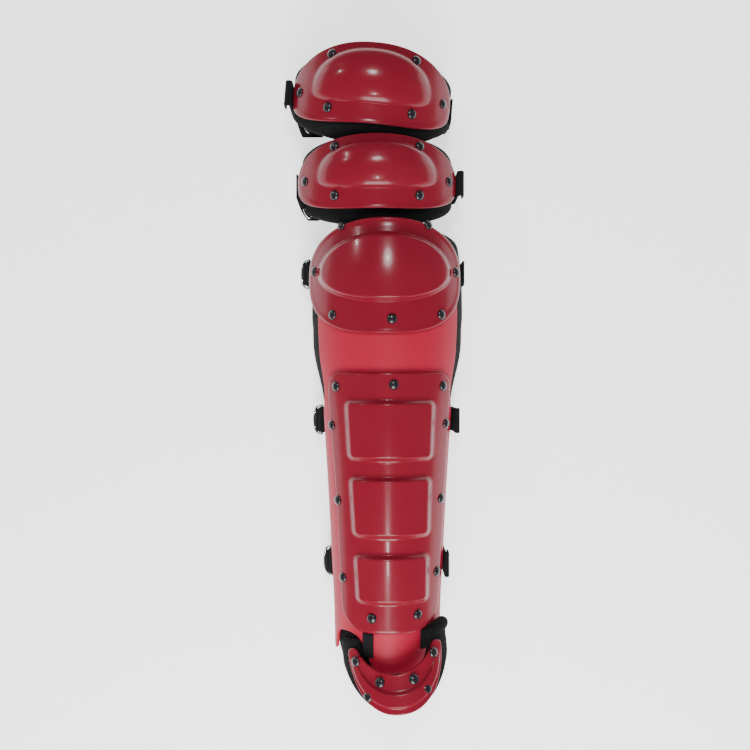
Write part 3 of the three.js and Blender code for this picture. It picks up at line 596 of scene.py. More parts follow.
class Effects:
    """Shader node groups shared by the finishes. They give masks, values and normals only."""

    def __init__(self) -> None:
        """Makes the groups."""
        self.grain = self._grain()
        self.scratches = self._scratches()
        self.dust = self._dust()
        self.weave = self._weave()
        self.mesh = self._mesh()

    @staticmethod
    def _group(name: str, inputs: Sequence[tuple[str, str, float | None]],
               outputs: Sequence[tuple[str, str]]) -> tuple[Graph, bpy.types.Node, bpy.types.Node]:
        """A new node group.

        Args:
            name: the group's name.
            inputs: name, socket type and first value of each input.
            outputs: name and socket type of each output.

        Returns:
            The group's graph, its input node and its output node.
        """
        tree = bpy.data.node_groups.new(name, "ShaderNodeTree")
        for label, kind, value in inputs:
            socket = tree.interface.new_socket(label, in_out="INPUT", socket_type=kind)
            if value is not None:
                socket.default_value = value
        for label, kind in outputs:
            tree.interface.new_socket(label, in_out="OUTPUT", socket_type=kind)
        graph = Graph(tree)
        return graph, graph.add("NodeGroupInput"), graph.add("NodeGroupOutput")

    def _grain(self) -> bpy.types.NodeTree:
        """Fine moulded grain: a normal.

        Returns:
            The group.
        """
        graph, source, end = self._group(
            "moulded_grain", [("Vector", "NodeSocketVector", None), ("Scale", "NodeSocketFloat", 900.0),
                              ("Depth", "NodeSocketFloat", 0.00015)], [("Normal", "NodeSocketVector")])
        noise = graph.noise(source.outputs[0], source.outputs[1], 4.0)
        bump = graph.add("ShaderNodeBump", {"Height": noise, "Distance": source.outputs[2], "Strength": 1.0})
        graph.tree.links.new(bump.outputs[0], end.inputs[0])
        return graph.tree

    def _scratches(self) -> bpy.types.NodeTree:
        """Fine scratches of handling: a mask.

        Returns:
            The group.
        """
        graph, source, end = self._group(
            "fine_scratches", [("Vector", "NodeSocketVector", None)], [("Mask", "NodeSocketFloat")])
        lines = []
        for turn, scale in ((0.6, 30.0), (-0.9, 42.0)):
            turned = graph.add("ShaderNodeMapping", {"Vector": source.outputs[0], "Rotation": (0, 0, turn),
                                                     "Scale": (scale * 22, scale, scale)})
            noise = graph.noise(turned.outputs[0], 1.0, 2.0)
            lines.append(graph.remap(noise, 0.71, 0.76, 0.0, 1.0))
        graph.tree.links.new(graph.math("MAXIMUM", lines[0], lines[1]), end.inputs[0])
        return graph.tree

    def _dust(self) -> bpy.types.NodeTree:
        """Thin uneven dust: a mask.

        Returns:
            The group.
        """
        graph, source, end = self._group(
            "thin_dust", [("Vector", "NodeSocketVector", None)], [("Mask", "NodeSocketFloat")])
        cloud = graph.noise(source.outputs[0], 24.0, 5.0)
        specks = graph.remap(graph.noise(source.outputs[0], 1500.0, 1.0), 0.68, 0.74, 0.0, 1.0)
        film = graph.remap(cloud, 0.4, 0.75, 0.1, 1.0)
        mask = graph.math("MULTIPLY", film, graph.math("ADD", specks, 0.25))
        graph.tree.links.new(mask, end.inputs[0])
        return graph.tree

    def _weave(self) -> bpy.types.NodeTree:
        """Plain webbing weave across and along: a normal and a mask of its raised threads.

        Returns:
            The group.
        """
        graph, source, end = self._group(
            "webbing_weave", [("Vector", "NodeSocketVector", None), ("Pitch", "NodeSocketFloat", 1.3)],
            [("Normal", "NodeSocketVector"), ("Mask", "NodeSocketFloat")])
        parts = graph.add("ShaderNodeSeparateXYZ", {0: source.outputs[0]})
        turn = graph.math("DIVIDE", 2 * math.pi * 1000.0, source.outputs[1])
        across = graph.math("SINE", graph.math("MULTIPLY", parts.outputs[0], turn))
        along = graph.math("SINE", graph.math("MULTIPLY", parts.outputs[1], turn))
        height = graph.remap(graph.math("MULTIPLY", across, along), -1.0, 1.0, 0.0, 1.0)
        bump = graph.add("ShaderNodeBump", {"Height": height, "Distance": 0.0004, "Strength": 0.9})
        graph.tree.links.new(bump.outputs[0], end.inputs[0])
        graph.tree.links.new(height, end.inputs[1])
        return graph.tree

    def _mesh(self) -> bpy.types.NodeTree:
        """Spacer mesh with round holes in offset rows: a normal and a mask of its holes.

        Returns:
            The group.
        """
        graph, source, end = self._group(
            "spacer_mesh", [("Vector", "NodeSocketVector", None), ("Pitch", "NodeSocketFloat", 2.1)],
            [("Normal", "NodeSocketVector"), ("Mask", "NodeSocketFloat")])
        scale = graph.math("DIVIDE", 1000.0, source.outputs[1])
        scaled = graph.add("ShaderNodeVectorMath", {0: source.outputs[0], "Scale": scale}, operation="SCALE")
        parts = graph.add("ShaderNodeSeparateXYZ", {0: scaled.outputs[0]})
        row = graph.math("FLOOR", parts.outputs[1])
        shifted = graph.math("ADD", parts.outputs[0], graph.math("MULTIPLY", row, 0.5))
        across = graph.math("SUBTRACT", graph.math("FRACT", shifted), 0.5)
        up = graph.math("SUBTRACT", graph.math("FRACT", parts.outputs[1]), 0.5)
        distance = graph.math("SQRT", graph.math("ADD", graph.math("MULTIPLY", across, across),
                                                 graph.math("MULTIPLY", up, up)))
        hole = graph.remap(distance, 0.22, 0.34, 1.0, 0.0)
        height = graph.math("SUBTRACT", 1.0, hole)
        bump = graph.add("ShaderNodeBump", {"Height": height, "Distance": 0.0006, "Strength": 1.0})
        graph.tree.links.new(bump.outputs[0], end.inputs[0])
        graph.tree.links.new(hole, end.inputs[1])
        return graph.tree


@dataclass(frozen=True)
class PlasticFinish:
    """Moulded plastic: colour, gloss, and how much grain, dust and scratches it carries."""

    name: str
    colour: Colour
    dusty: Colour
    roughness: float
    grain_scale: float
    grain_depth: float
    wear: float
    coat: float
    specular: float
    film_roughness: float = 0.5
    mark_roughness: float = 0.35
    coat_roughness: float = 0.06

    def make(self, effects: Effects) -> bpy.types.Material:
        """The material.

        Args:
            effects: the shared node groups.

        Returns:
            The material.
        """
        material, graph, shader = new_material(self.name)
        place = graph.add("ShaderNodeTexCoord").outputs["Object"]
        grain = graph.add("ShaderNodeGroup", {}, node_tree=effects.grain)
        graph.tree.links.new(place, grain.inputs[0])
        grain.inputs[1].default_value = self.grain_scale
        grain.inputs[2].default_value = self.grain_depth
        scratch = graph.add("ShaderNodeGroup", {}, node_tree=effects.scratches)
        dust = graph.add("ShaderNodeGroup", {}, node_tree=effects.dust)
        graph.tree.links.new(place, scratch.inputs[0])
        graph.tree.links.new(place, dust.inputs[0])
        film = graph.math("MULTIPLY", dust.outputs[0], self.wear)
        marks = graph.math("MULTIPLY", scratch.outputs[0], self.wear)
        colour = graph.add("ShaderNodeMix", {0: film, 6: self.colour, 7: self.dusty}, data_type="RGBA")
        dull = graph.math("MULTIPLY", film, self.film_roughness)
        worn = graph.math("MULTIPLY", marks, self.mark_roughness)
        rough = graph.math("ADD", graph.math("ADD", dull, worn), self.roughness)
        graph.tree.links.new(colour.outputs[2], shader.inputs["Base Color"])
        graph.tree.links.new(rough, shader.inputs["Roughness"])
        graph.tree.links.new(grain.outputs[0], shader.inputs["Normal"])
        shader.inputs["Coat Weight"].default_value = self.coat
        shader.inputs["Coat Roughness"].default_value = self.coat_roughness
        shader.inputs["Specular IOR Level"].default_value = self.specular
        return material


@dataclass(frozen=True)
class ClothFinish:
    """Woven or knitted cloth: thread colour, darker colour between the threads as painted shade in the gaps,
    and pitch in millimetres.
    """

    name: str
    thread: Colour
    # painted shade: the darker colour put into the holes and the gaps between the threads
    between: Colour
    pitch: float
    knitted: bool
    sheen: float
    roughness: float = 0.85
    specular: float = 0.12
    sheen_roughness: float = 0.45

    def make(self, effects: Effects) -> bpy.types.Material:
        """The material.

        Args:
            effects: the shared node groups.

        Returns:
            The material.
        """
        material, graph, shader = new_material(self.name)
        place = graph.add("ShaderNodeUVMap", {}, uv_map="surface").outputs[0]
        cloth = graph.add("ShaderNodeGroup", {}, node_tree=effects.mesh if self.knitted else effects.weave)
        graph.tree.links.new(place, cloth.inputs[0])
        cloth.inputs[1].default_value = self.pitch
        # the mask paints the darker colour into the holes and low gaps as painted shade
        first, second = (self.thread, self.between) if self.knitted else (self.between, self.thread)
        colour = graph.add("ShaderNodeMix", {0: cloth.outputs[1], 6: first, 7: second}, data_type="RGBA")
        graph.tree.links.new(colour.outputs[2], shader.inputs["Base Color"])
        graph.tree.links.new(cloth.outputs[0], shader.inputs["Normal"])
        shader.inputs["Roughness"].default_value = self.roughness
        shader.inputs["Specular IOR Level"].default_value = self.specular
        shader.inputs["Sheen Weight"].default_value = self.sheen
        shader.inputs["Sheen Roughness"].default_value = self.sheen_roughness
        return material


@dataclass(frozen=True)
class MetalFinish:
    """Plain metal or enamel, by colour and gloss."""

    name: str
    colour: Colour
    metallic: float
    roughness: float
    scratched: float = 0.2   # what a scratch adds to the roughness

    def make(self, effects: Effects) -> bpy.types.Material:
        """The material.

        Args:
            effects: the shared node groups.

        Returns:
            The material.
        """
        material, graph, shader = new_material(self.name)
        place = graph.add("ShaderNodeTexCoord").outputs["Object"]
        scratch = graph.add("ShaderNodeGroup", {}, node_tree=effects.scratches)
        graph.tree.links.new(place, scratch.inputs[0])
        rough = graph.remap(scratch.outputs[0], 0.0, 1.0, self.roughness, self.roughness + self.scratched)
        graph.tree.links.new(rough, shader.inputs["Roughness"])
        shader.inputs["Base Color"].default_value = self.colour
        shader.inputs["Metallic"].default_value = self.metallic
        return material


def new_material(name: str) -> tuple[bpy.types.Material, Graph, bpy.types.Node]:
    """An empty material with its graph and its main shader.

    Args:
        name: the material's name.

    Returns:
        The material, its graph and its main shader.
    """
    material = bpy.data.materials.new(name)
    material.use_nodes = True
    graph = Graph(material.node_tree)
    material.node_tree.nodes.clear()
    shader = graph.add("ShaderNodeBsdfPrincipled")
    graph.add("ShaderNodeOutputMaterial", {"Surface": shader.outputs[0]})
    return material, graph, shader


class Finishes:
    """All finishes of the guard, one for each slot."""

    GLOSS = PlasticFinish("glossy_dark_red", (0.215, 0.0085, 0.022, 1), (0.30, 0.10, 0.10, 1), roughness=0.21,
                          grain_scale=260.0, grain_depth=0.00003, wear=0.12, coat=0.09, specular=0.20)
    SATIN = PlasticFinish("satin_red", (0.42, 0.013, 0.040, 1), (0.50, 0.12, 0.14, 1), roughness=0.42,
                          grain_scale=1500.0, grain_depth=0.0001, wear=0.10, coat=0.0, specular=0.16)
    # the second colour of each cloth is painted shade in its holes or between its threads
    PADDING = ClothFinish("black_mesh", (0.009, 0.009, 0.010, 1), (0.002, 0.002, 0.002, 1), pitch=2.1,
                          knitted=True, sheen=0.02)
    WEBBING = ClothFinish("black_webbing", (0.015, 0.015, 0.017, 1), (0.004, 0.004, 0.005, 1), pitch=1.3,
                          knitted=False, sheen=0.04)
    RIVETS = MetalFinish("black_enamel", (0.014, 0.012, 0.016, 1), 0.0, 0.24)
    CHROME = MetalFinish("bright_wire", (0.60, 0.60, 0.62, 1), 1.0, 0.16)

    def __init__(self) -> None:
        """Makes every material once."""
        effects = Effects()
        self.materials = {slot: getattr(self, slot.name).make(effects) for slot in Slot}

    def of(self, slot: Slot) -> bpy.types.Material:
        """Material of a slot."""
        return self.materials[slot]


@dataclass(frozen=True)
class CapSizes:
    """Sizes of one upper cap in millimetres. Depths are from its widest row."""

    name: str
    crest: float
    top: float
    bottom: float
    pad_end: float
    pad_out: float
    dip: float
    pad_top_back: float = 14.0
    pad_bottom_back: float = 34.0
    pad_bottom_power: float = 1.6
    pad_short: float = 0.0   # how much sooner than the cap the pad ends at its top
    strap_left: float = 47.0
    strap_right: float = 32.0
    dome: float = 9.6
    dome_half: float = 57.0
    dome_top_margin: float = 7.5
    dome_bottom_margin: float = 19.0
    arch_margin: float = 4.5
    arch_rise: float = 60.0
    wall: float = 3.0
    top_bow: float = 7.0
    bottom_bow: float = 3.0


class KneeCap:
    """A D-shaped cap with a raised dome, with its pad and rivets."""

    RIVETS = ((-.515, .72), (.515, .72), (-.892, -.02), (.892, -.02), (-.51, -.58), (.51, -.58))
    FLANK = 4.6              # how soon the dome's flanks reach its face
    FLANK_BELOW = 4.6        # what the lower edge has more
    FLANK_ABOVE = 9.0        # what the upper edge has more
    CREASE = 0.07            # softness of the crease round the dome
    PEAK = 14.5              # height of the face's highest row above the widest row
    BEND = 62.0              # radius of the face along the guard
    LEAST_RISE = 0.6
    LIP = 0.8
    LIP_PLACE = 1.6          # distance of the lip's crest from the edge
    LIP_WIDTH = 1.1
    LIP_END = 8.0            # row above which there is no lip
    PAD_WALL = 11.0
    PAD_SEAMS = (0.34, 0.67)

    def __init__(self, sculpt: Sculpt, seat: Seat, sizes: CapSizes) -> None:
        """Args: sculpt: the builder. seat: the cap's place. sizes: its sizes."""
        self.sculpt, self.seat, self.sizes = sculpt, seat, sizes
        half = sculpt.layout.cap_half
        self.outline = Outline(half, sizes.top, sizes.bottom, 2.4, 3.1)
        self.dome = Outline(sizes.dome_half, sizes.top - sizes.dome_top_margin,
                            sizes.bottom - sizes.dome_bottom_margin, 2.3, 2.8)
        self.arch = Section(half + sizes.arch_margin, sizes.arch_rise, sizes.crest - sizes.arch_rise)

    def bow(self, y: float) -> float:
        """Bend of the cap back towards the leg at its top and bottom edges."""
        reach = self.sizes.top_bow if y >= 0 else self.sizes.bottom_bow
        return reach * (y / self.outline.depth(y)) ** 2

    def height(self, x: float, y: float) -> float:
        """Height of the cap's face over the ground.

        Args:
            x: place across the cap.
            y: place along it, from its widest row.

        Returns:
            The height in millimetres.
        """
        share = self.dome.share(x, y) if x or y else 0.0
        power = self.FLANK + self.FLANK_BELOW * smoothstep(0.0, -0.6 * self.dome.bottom, y)
        power += self.FLANK_ABOVE * smoothstep(self.PEAK, 0.85 * self.dome.top, y)
        flank = min(1.0, soft_floor(1 - min(1.5, share) ** power, self.CREASE))
        face = self.sizes.dome - (y - self.PEAK) ** 2 / (2 * self.BEND)
        rise = max(self.LEAST_RISE, face) * flank ** 0.7
        edge = (1 - self.outline.share(x, y)) * self.outline.depth(y) if x or y else FAR
        lip = self.LIP * (y < self.LIP_END) * math.exp(-((edge - self.LIP_PLACE) / self.LIP_WIDTH) ** 2)
        return self.arch.height(x, 0.0) - self.bow(y) + rise + lip

    def build(self) -> None:
        """Builds the cap, its pad and its rivets."""
        name = self.sizes.name
        blank = CapBlank(self.outline, self.dome)
        self.sculpt.cap(f"cap_{name}", self.seat, blank, self.height, self.sizes.wall, inside=30, outside=12)
        self.build_pad()
        self.sculpt.rivets(f"cap_{name}", self.seat, self.height, self.outline.places(self.RIVETS))

    def pad_section(self, y: float) -> Section:
        """Arch of the pad at a place, bent back with its cap and dipped under the next one.

        Args:
            y: place along the cap, from its widest row.

        Returns:
            Its section.
        """
        end = self.sizes.pad_end
        past = max(0.0, -y - self.outline.bottom) / (-end - self.outline.bottom)
        lowered = self.bow(max(y, -self.outline.bottom)) + self.sizes.dip * past
        return replace(self.arch, foot=self.arch.foot - lowered)

    def build_pad(self) -> None:
        """Builds the pad behind the cap."""
        sizes = self.sizes
        form = PadForm(self.pad_section, sizes.top - sizes.pad_short, sizes.pad_end, sizes.pad_top_back,
                       sizes.pad_bottom_back, sizes.pad_out, self.PAD_WALL, self.PAD_SEAMS,
                       bottom_power=sizes.pad_bottom_power)
        form.build(self.sculpt, self.seat, f"pad_{sizes.name}")


@dataclass(frozen=True)
class PadForm:
    """Stuffed pad in arch form, its side edges standing near the ground."""

    SKIRT = 1.3              # columns end here, and the arch ends at 1
    SKIRT_REACH = 110.0      # millimetres in one unit of the columns there
    RIM = 0.2                # share of the wall that is left at the edges

    section: Callable[[float], Section]
    top: float
    bottom: float
    top_back: float
    bottom_back: float
    out: float
    wall: float
    channels: Sequence[float]
    floor: float = 2.6
    edge: float = 5.0
    puff: float = 0.6
    channel_depth: float = 1.5
    channel_width: float = 0.03
    top_power: float = 2.6
    bottom_power: float = 1.0

    def build(self, sculpt: Sculpt, seat: Seat, name: str) -> bpy.types.Object:
        """Args:
            sculpt: the builder.
            seat: the pad's own axes.
            name: the piece's name and its CAD node's.

        Returns:
            The object.
        """
        turn = math.pi / 2
        skirt = self.SKIRT
        columns = [*eased(-skirt, -1, 10)[:-1], *spread(-1, 1, 84), *eased(1, skirt, 10)[1:]]
        rows = eased(0, 1, 56)
        length = self.top - self.bottom
        wall = self.wall

        def place(column: float, row: float) -> Vector:
            """Point of the pad's middle surface.

            Args:
                column: column, past 1 in the skirt.
                row: share of the length.

            Returns:
                The point.
            """
            angle = turn * max(-1.0, min(1.0, column))
            side = abs(angle / turn)
            top = self.top - self.top_back * side ** self.top_power
            bottom = self.bottom + self.bottom_back * side ** self.bottom_power
            y = top + (bottom - top) * row
            point = self.section(y).point(angle, y, self.out - wall / 2)
            past = max(0.0, abs(column) - 1) / (skirt - 1)
            point.z += (self.floor - point.z) * past
            return seat.put(*point)

        def swell(column: float, row: float) -> float:
            """Half the pad's thickness, pillowed at its edges and drawn in at its seams.

            Args:
                column: column, past 1 in the skirt.
                row: share of the length.

            Returns:
                Half the thickness.
            """
            to_end = min(row, 1 - row) * length
            to_side = (skirt - abs(column)) * self.SKIRT_REACH
            near = min(1.0, min(to_end, to_side) / self.edge)
            pillow = math.sqrt(max(0.0, 1 - (1 - near) ** 2))
            seam = sum(math.exp(-((row - at) / self.channel_width) ** 2) for at in self.channels)
            return wall / 2 * (self.RIM + (1 - self.RIM) * pillow) - self.channel_depth * min(1.0, seam)

        piece = sculpt.finish(name, sculpt.skin(columns, rows, place, swell, swell), Slot.PADDING, name)
        return piece


class LowerCap:
    """Rounded lower knee cap with a low raised oval."""

    RIVETS = ((-.545, .88), (.555, .88), (-.915, .07), (.93, .04), (-.66, -.685), (.72, -.685), (.09, -.77))
    OUT = 8.4
    WALL = 3.0
    RISE = 8.0
    BEND = 600.0             # radius of the oval's face from its top to its lower edge
    TOP_BOW = 2.0
    LIP = 0.8
    LIP_PLACE = 1.8          # distance of the lip's crest from the edge
    LIP_WIDTH = 1.2
    STEP = 4.6               # width of the oval's step

    def __init__(self, sculpt: Sculpt, arch: ShinArch) -> None:
        """Args: sculpt: the builder. arch: the arch it lies on."""
        self.sculpt, self.arch = sculpt, arch
        self.seat = Seat(-3.3, 96.2)
        self.outline = Outline(75.4, 51.4, 59.2, 2.4, 2.8)
        self.dome = Outline(65.0, 37.0, 30.0, 2.1, 2.1)

    def height(self, x: float, y: float) -> float:
        """Height of the cap's face over the ground.

        Args:
            x: place across the cap.
            y: place along it, from its widest row.

        Returns:
            The height in millimetres.
        """
        off_middle = x or y
        share = self.dome.share(x, y) if off_middle else 0.0
        inside = math.hypot(x, y) * (1 / share - 1) if off_middle else FAR
        rise = smoothstep(-0.4, self.STEP, inside) * (self.RISE - y * y / (2 * self.BEND))
        bow = self.TOP_BOW * (y / self.outline.top) ** 2 if y > 0 else 0.0
        edge = (1 - self.outline.share(x, y)) * self.outline.depth(y) if off_middle else FAR
        lip = self.LIP * math.exp(-((edge - self.LIP_PLACE) / self.LIP_WIDTH) ** 2)
        return self.arch.height(x + self.seat.x, self.seat.y + y, self.OUT) - bow + rise + lip

    def build(self) -> None:
        """Builds the cap and its rivets."""
        blank = CapBlank(self.outline, self.dome)
        self.sculpt.cap("cap_lower", self.seat, blank, self.height, self.WALL, inside=34, outside=14)
        self.sculpt.rivets("cap_lower", self.seat, self.height, self.outline.places(self.RIVETS))


class Backing:
    """Lighter plate that shows behind the middle cap at its upper right."""

    SHIFT = 4.0
    OUT = -4.2
    WALL = 2.4

    def __init__(self, sculpt: Sculpt, cap: KneeCap) -> None:
        """Args: sculpt: the builder. cap: the cap in front of it."""
        self.sculpt, self.cap = sculpt, cap
        self.outline = Outline(71.5, 38.0, 25.0, 3.2, 3.1)

    def build(self) -> None:
        """Builds the plate."""
        def place(angle: float, ring: float) -> Vector:
            """Point of the plate's face.

            Args:
                angle: angle round the plate's middle.
                ring: share of the way to its edge.

            Returns:
                The point.
            """
            edge_x, edge_y = self.outline.point(angle)
            x, y = edge_x * ring + self.SHIFT, edge_y * ring
            return self.cap.seat.put(x, y, self.cap.arch.height(x, self.OUT) - self.cap.bow(y))

        shell = self.sculpt.skin(spread(0, 2 * math.pi, 96), eased(0, 1, 20), place, lambda u, v: 0.0,
                                 lambda u, v: self.WALL, rim=0.7)
        self.sculpt.finish("backing_middle", shell, Slot.SATIN, "backing_middle")


@dataclass(frozen=True)
class Panel:
    """Raised panel: its ends in shares of the plate's length, its sides in shares of its half width."""

    top: float
    bottom: float
    left: float
    right: float
    left_end: float
    right_end: float


class ShinPlate:
    """Long glossy plate with three raised panels."""

    LEFTS = ((0, -.955), (.1, -.965), (.5, -.835), (.9, -.755), (1, -.74))
    RIGHTS = ((0, 1.005), (.1, 1.015), (.5, .93), (.9, .835), (1, .80))
    PANELS = (Panel(.100, .337, -.71, .775, -.655, .74), Panel(.392, .632, -.64, .72, -.58, .70),
              Panel(.690, .888, -.565, .685, -.52, .68))
    RIVETS = ((-.83, .052), (.087, .044), (.887, .050), (-.905, .203), (.945, .197), (-.805, .495),
              (.867, .490), (-.725, .797), (.80, .777), (-.255, .939), (.477, .930))
    HALF = 60.0
    RISE = 4.5
    SLOPE = 5.0
    ROUND = 2.5
    TOP_RADIUS = 10.0
    BOTTOM_RADIUS = 25.0
    RIM = 1.2
    OUT = 8.4
    WALL = 3.0
    LEAST_LANE = 1.3         # least width of a lane beside the panels
    LANES = (0, .02, .05, .09, *spread(.14, 1, 6)[:-1], *spread(1, 2, 7)[:-1], *spread(2, 3, 5)[:-1],
             *spread(3, 4, 34)[:-1], *spread(4, 5, 5)[:-1], *spread(5, 6, 7)[:-1], *spread(6, 6.86, 6),
             6.91, 6.95, 6.98, 7)

    def __init__(self, sculpt: Sculpt, arch: ShinArch) -> None:
        """Args: sculpt: the builder. arch: the arch it lies on."""
        self.sculpt, self.arch = sculpt, arch
        self.length = sculpt.layout.plate_length

    def inset(self, y: float) -> float:
        """How far the rounded corners draw the sides in.

        Args:
            y: place along the plate.

        Returns:
            The distance in millimetres.
        """
        total = 0.0
        for edge, radius in ((0.0, self.TOP_RADIUS), (-self.length, self.BOTTOM_RADIUS)):
            into = max(0.0, radius - abs(edge - y))
            total += radius - math.sqrt(max(0.0, radius * radius - into * into))
        return total

    def sides(self, y: float) -> tuple[float, float]:
        """Side edges of the plate at a place along it.

        Args:
            y: the place, from the plate's top edge.

        Returns:
            The left and the right edge's x.
        """
        along = -y / self.length
        return (self.HALF * along_table(self.LEFTS, along) + self.inset(y),
                self.HALF * along_table(self.RIGHTS, along) - self.inset(y))

    def panel_sides(self, panel: Panel, y: float) -> tuple[float, float]:
        """Outer feet of a panel's slopes at a place along the plate.

        Args:
            panel: the panel.
            y: the place, from the plate's top edge.

        Returns:
            The left and the right foot's x.
        """
        share = (-y / self.length - panel.top) / (panel.bottom - panel.top)
        share = min(1.0, max(0.0, share))
        return (self.HALF * (panel.left + (panel.left_end - panel.left) * share),
                self.HALF * (panel.right + (panel.right_end - panel.right) * share))

    def rise(self, x: float, y: float) -> float:
        """Rise of the panels over the plate.

        Args:
            x: place across the plate.
            y: place along it, from its top edge.

        Returns:
            The rise in millimetres.
        """
        best = 0.0
        for panel in self.PANELS:
            left, right = self.panel_sides(panel, y)
            ends = min(-y - panel.top * self.length, panel.bottom * self.length + y)
            in_side = min(x - left, right - x)
            if ends <= 0 or in_side <= 0:
                continue
            corner = self.ROUND + self.SLOPE
            if ends < corner and in_side < corner:
                depth = corner - math.hypot(corner - ends, corner - in_side)
            else:
                depth = min(ends, in_side)
            best = max(best, smoothstep(0.0, self.SLOPE, depth))
        return self.RISE * best

    def height(self, x: float, y: float) -> float:
        """Height of the plate's face over the ground."""
        return self.arch.height(x, y, self.OUT) + self.rise(x, y)

    def nearest_panel(self, y: float) -> Panel:
        """The panel at a place along the plate, or the next one."""
        along = -y / self.length
        return next((panel for panel in self.PANELS if along <= panel.bottom + 0.02), self.PANELS[-1])

    def rows(self) -> list[float]:
        """Rows of the plate, closer together at the panels' slopes and at the rounded corners.

        Returns:
            Their places along the plate, from its top edge down.
        """
        stops = [-self.TOP_RADIUS]
        for panel in self.PANELS:
            top, bottom = -panel.top * self.length, -panel.bottom * self.length
            corner = self.SLOPE + self.ROUND
            stops += [top, top - self.SLOPE, top - corner, bottom + corner, bottom + self.SLOPE, bottom]
        stops.append(-self.length + self.BOTTOM_RADIUS)
        rows = eased(0, -self.TOP_RADIUS, 10)[:-1]
        for first, second in zip(stops, stops[1:]):
            count = max(2, math.ceil((first - second) / (1.0 if first - second < 6 else 2.6)))
            rows += spread(first, second, count)[:-1]
        corner = [self.BOTTOM_RADIUS * math.cos(angle) for angle in spread(0, math.pi / 2, 22)]
        return rows + [-self.length + up for up in corner]

    def build(self) -> None:
        """Builds the plate and its rivets."""
        def place(lane: float, y: float) -> Vector:
            """Point of the plate's face in a lane between the panels' marks.

            Args:
                lane: number and share of the lane.
                y: place along the plate.

            Returns:
                The point.
            """
            left, right = self.sides(y)
            in_left, in_right = self.panel_sides(self.nearest_panel(y), y)
            step, round_in = self.SLOPE, self.ROUND + self.SLOPE
            marks = [left, in_left, in_left + step, in_left + round_in, in_right - round_in, in_right - step,
                     in_right, right]
            last = len(marks) - 1
            for number, mark in enumerate(marks):
                least, most = left + self.LEAST_LANE * number, right - self.LEAST_LANE * (last - number)
                marks[number] = min(max(mark, least), most)
            first = min(last - 1, int(lane))
            x = marks[first] + (marks[first + 1] - marks[first]) * (lane - first)
            return Vector((x, y, self.height(x, y)))

        def drop(lane: float, y: float) -> float:
            """How far both faces draw in at the rim.

            Args:
                lane: number and share of the lane.
                y: place along the plate.

            Returns:
                The distance in millimetres.
            """
            left, right = self.sides(y)
            x = place(lane, y).x
            return rounded(min(x - left, right - x, -y, self.length + y), self.RIM)

        shell = self.sculpt.skin(self.LANES, self.rows(), place, lambda u, v: -drop(u, v),
                                 lambda u, v: self.WALL - drop(u, v))
        self.sculpt.finish("shin_plate", shell, Slot.GLOSS, "shin_plate")
        places = [(across * self.HALF, -along * self.length) for across, along in self.RIVETS]
        self.sculpt.rivets("shin_plate", Seat(), self.height, places)


class ShinShell:
    """Satin shell under the shin plate, with a tongue down to the foot."""

    ENDS = ((-1, .36), (-.88, .40), (-.80, .80), (-.62, .92), (-.42, .86), (-.30, .60), (-.20, .14), (0, 0),
            (.22, 0), (.42, 0), (.54, .30), (.66, .86), (.82, .90), (.92, .80), (1, .78))
    EDGES = ((0, 50), (.13, 60), (.39, 66), (.46, 76), (.56, 84), (1.07, 84))
    TOP = 122.0
    TOP_BACK = 24.0
    TONGUE = 39.0
    BORDER = 0.07
    BORDER_MIDDLE = 0.28
    OUT = 4.2
    WALL = 3.0

    def __init__(self, sculpt: Sculpt, arch: ShinArch) -> None:
        """Args: sculpt: the builder. arch: the arch it lies on."""
        self.sculpt, self.arch = sculpt, arch

    def build(self) -> None:
        """Builds the shell."""
        end = -self.sculpt.layout.plate_length - self.TONGUE

        def place(across: float, share: float) -> Vector:
            """Point of the shell's face.

            Args:
                across: share of the way to its side edge.
                share: share of its length.

            Returns:
                The point.
            """
            top = self.TOP - self.TOP_BACK * abs(across) ** 2.5
            bottom = end + along_table(self.ENDS, across) * self.TONGUE
            y = top + (bottom - top) * share
            along = self.arch.along(y)
            edge = math.radians(along_table(self.EDGES, along))
            border = self.BORDER * max(0.0, 1 - abs(along - self.BORDER_MIDDLE) / self.BORDER_MIDDLE)
            return self.arch.at(y).point(across * (edge - border), y, self.OUT)

        shell = self.sculpt.skin(spread(-1, 1, 100), spread(0, 1, 130), place, lambda u, v: 0.0,
                                 lambda u, v: self.WALL, rim=0.8)
        self.sculpt.finish("shin_shell", shell, Slot.SATIN, "shin_shell")


class Liner:
    """Padded liner behind the lower cap and the shell, with a flap under the foot pad."""

    UNDER_FOOT = 44.0
    TOP_BACK = 12.0          # how much lower it starts at its sides
    END_BACK = 36.0          # how much sooner it ends at its sides
    WALL = 8.0
    SEAMS = (0.22, 0.42, 0.62, 0.82)

    def __init__(self, sculpt: Sculpt, arch: ShinArch) -> None:
        """Args: sculpt: the builder. arch: the arch it follows."""
        self.sculpt, self.arch = sculpt, arch

    def build(self) -> None:
        """Builds the liner."""
        top = self.sculpt.layout.liner_top
        end = top - self.sculpt.layout.liner_length - self.UNDER_FOOT
        form = PadForm(self.arch.at, top, end, self.TOP_BACK, self.END_BACK, 0.0, self.WALL, self.SEAMS,
                       channel_width=0.012, channel_depth=1.2, bottom_power=2.2)
        form.build(self.sculpt, Seat(), "liner")


@dataclass(frozen=True)
class Crescent:
    """Curve of a crescent's edge: half width, depth, drop of its two tips and squareness."""

    half: float
    depth: float
    left: float
    right: float
    power: float

    def point(self, angle: float) -> tuple[float, float]:
        """Point of the curve.

        Args:
            angle: the angle from straight down.

        Returns:
            The point's x and y in the plate's axes.
        """
        tip = self.left if angle < 0 else self.right
        across, down = math.sin(angle), max(0.0, math.cos(angle))
        reach = (abs(across) ** self.power + down ** self.power) ** (-1 / self.power)
        return self.half * across * reach, tip * (1 - down) - self.depth * down * reach


def between(notch: Crescent, outer: Crescent, angle: float, share: float) -> tuple[float, float]:
    """Point between two crescents at an angle, at a share of the way from the notch to the outer one."""
    (from_x, from_y), (to_x, to_y) = notch.point(angle), outer.point(angle)
    return from_x + (to_x - from_x) * share, from_y + (to_y - from_y) * share


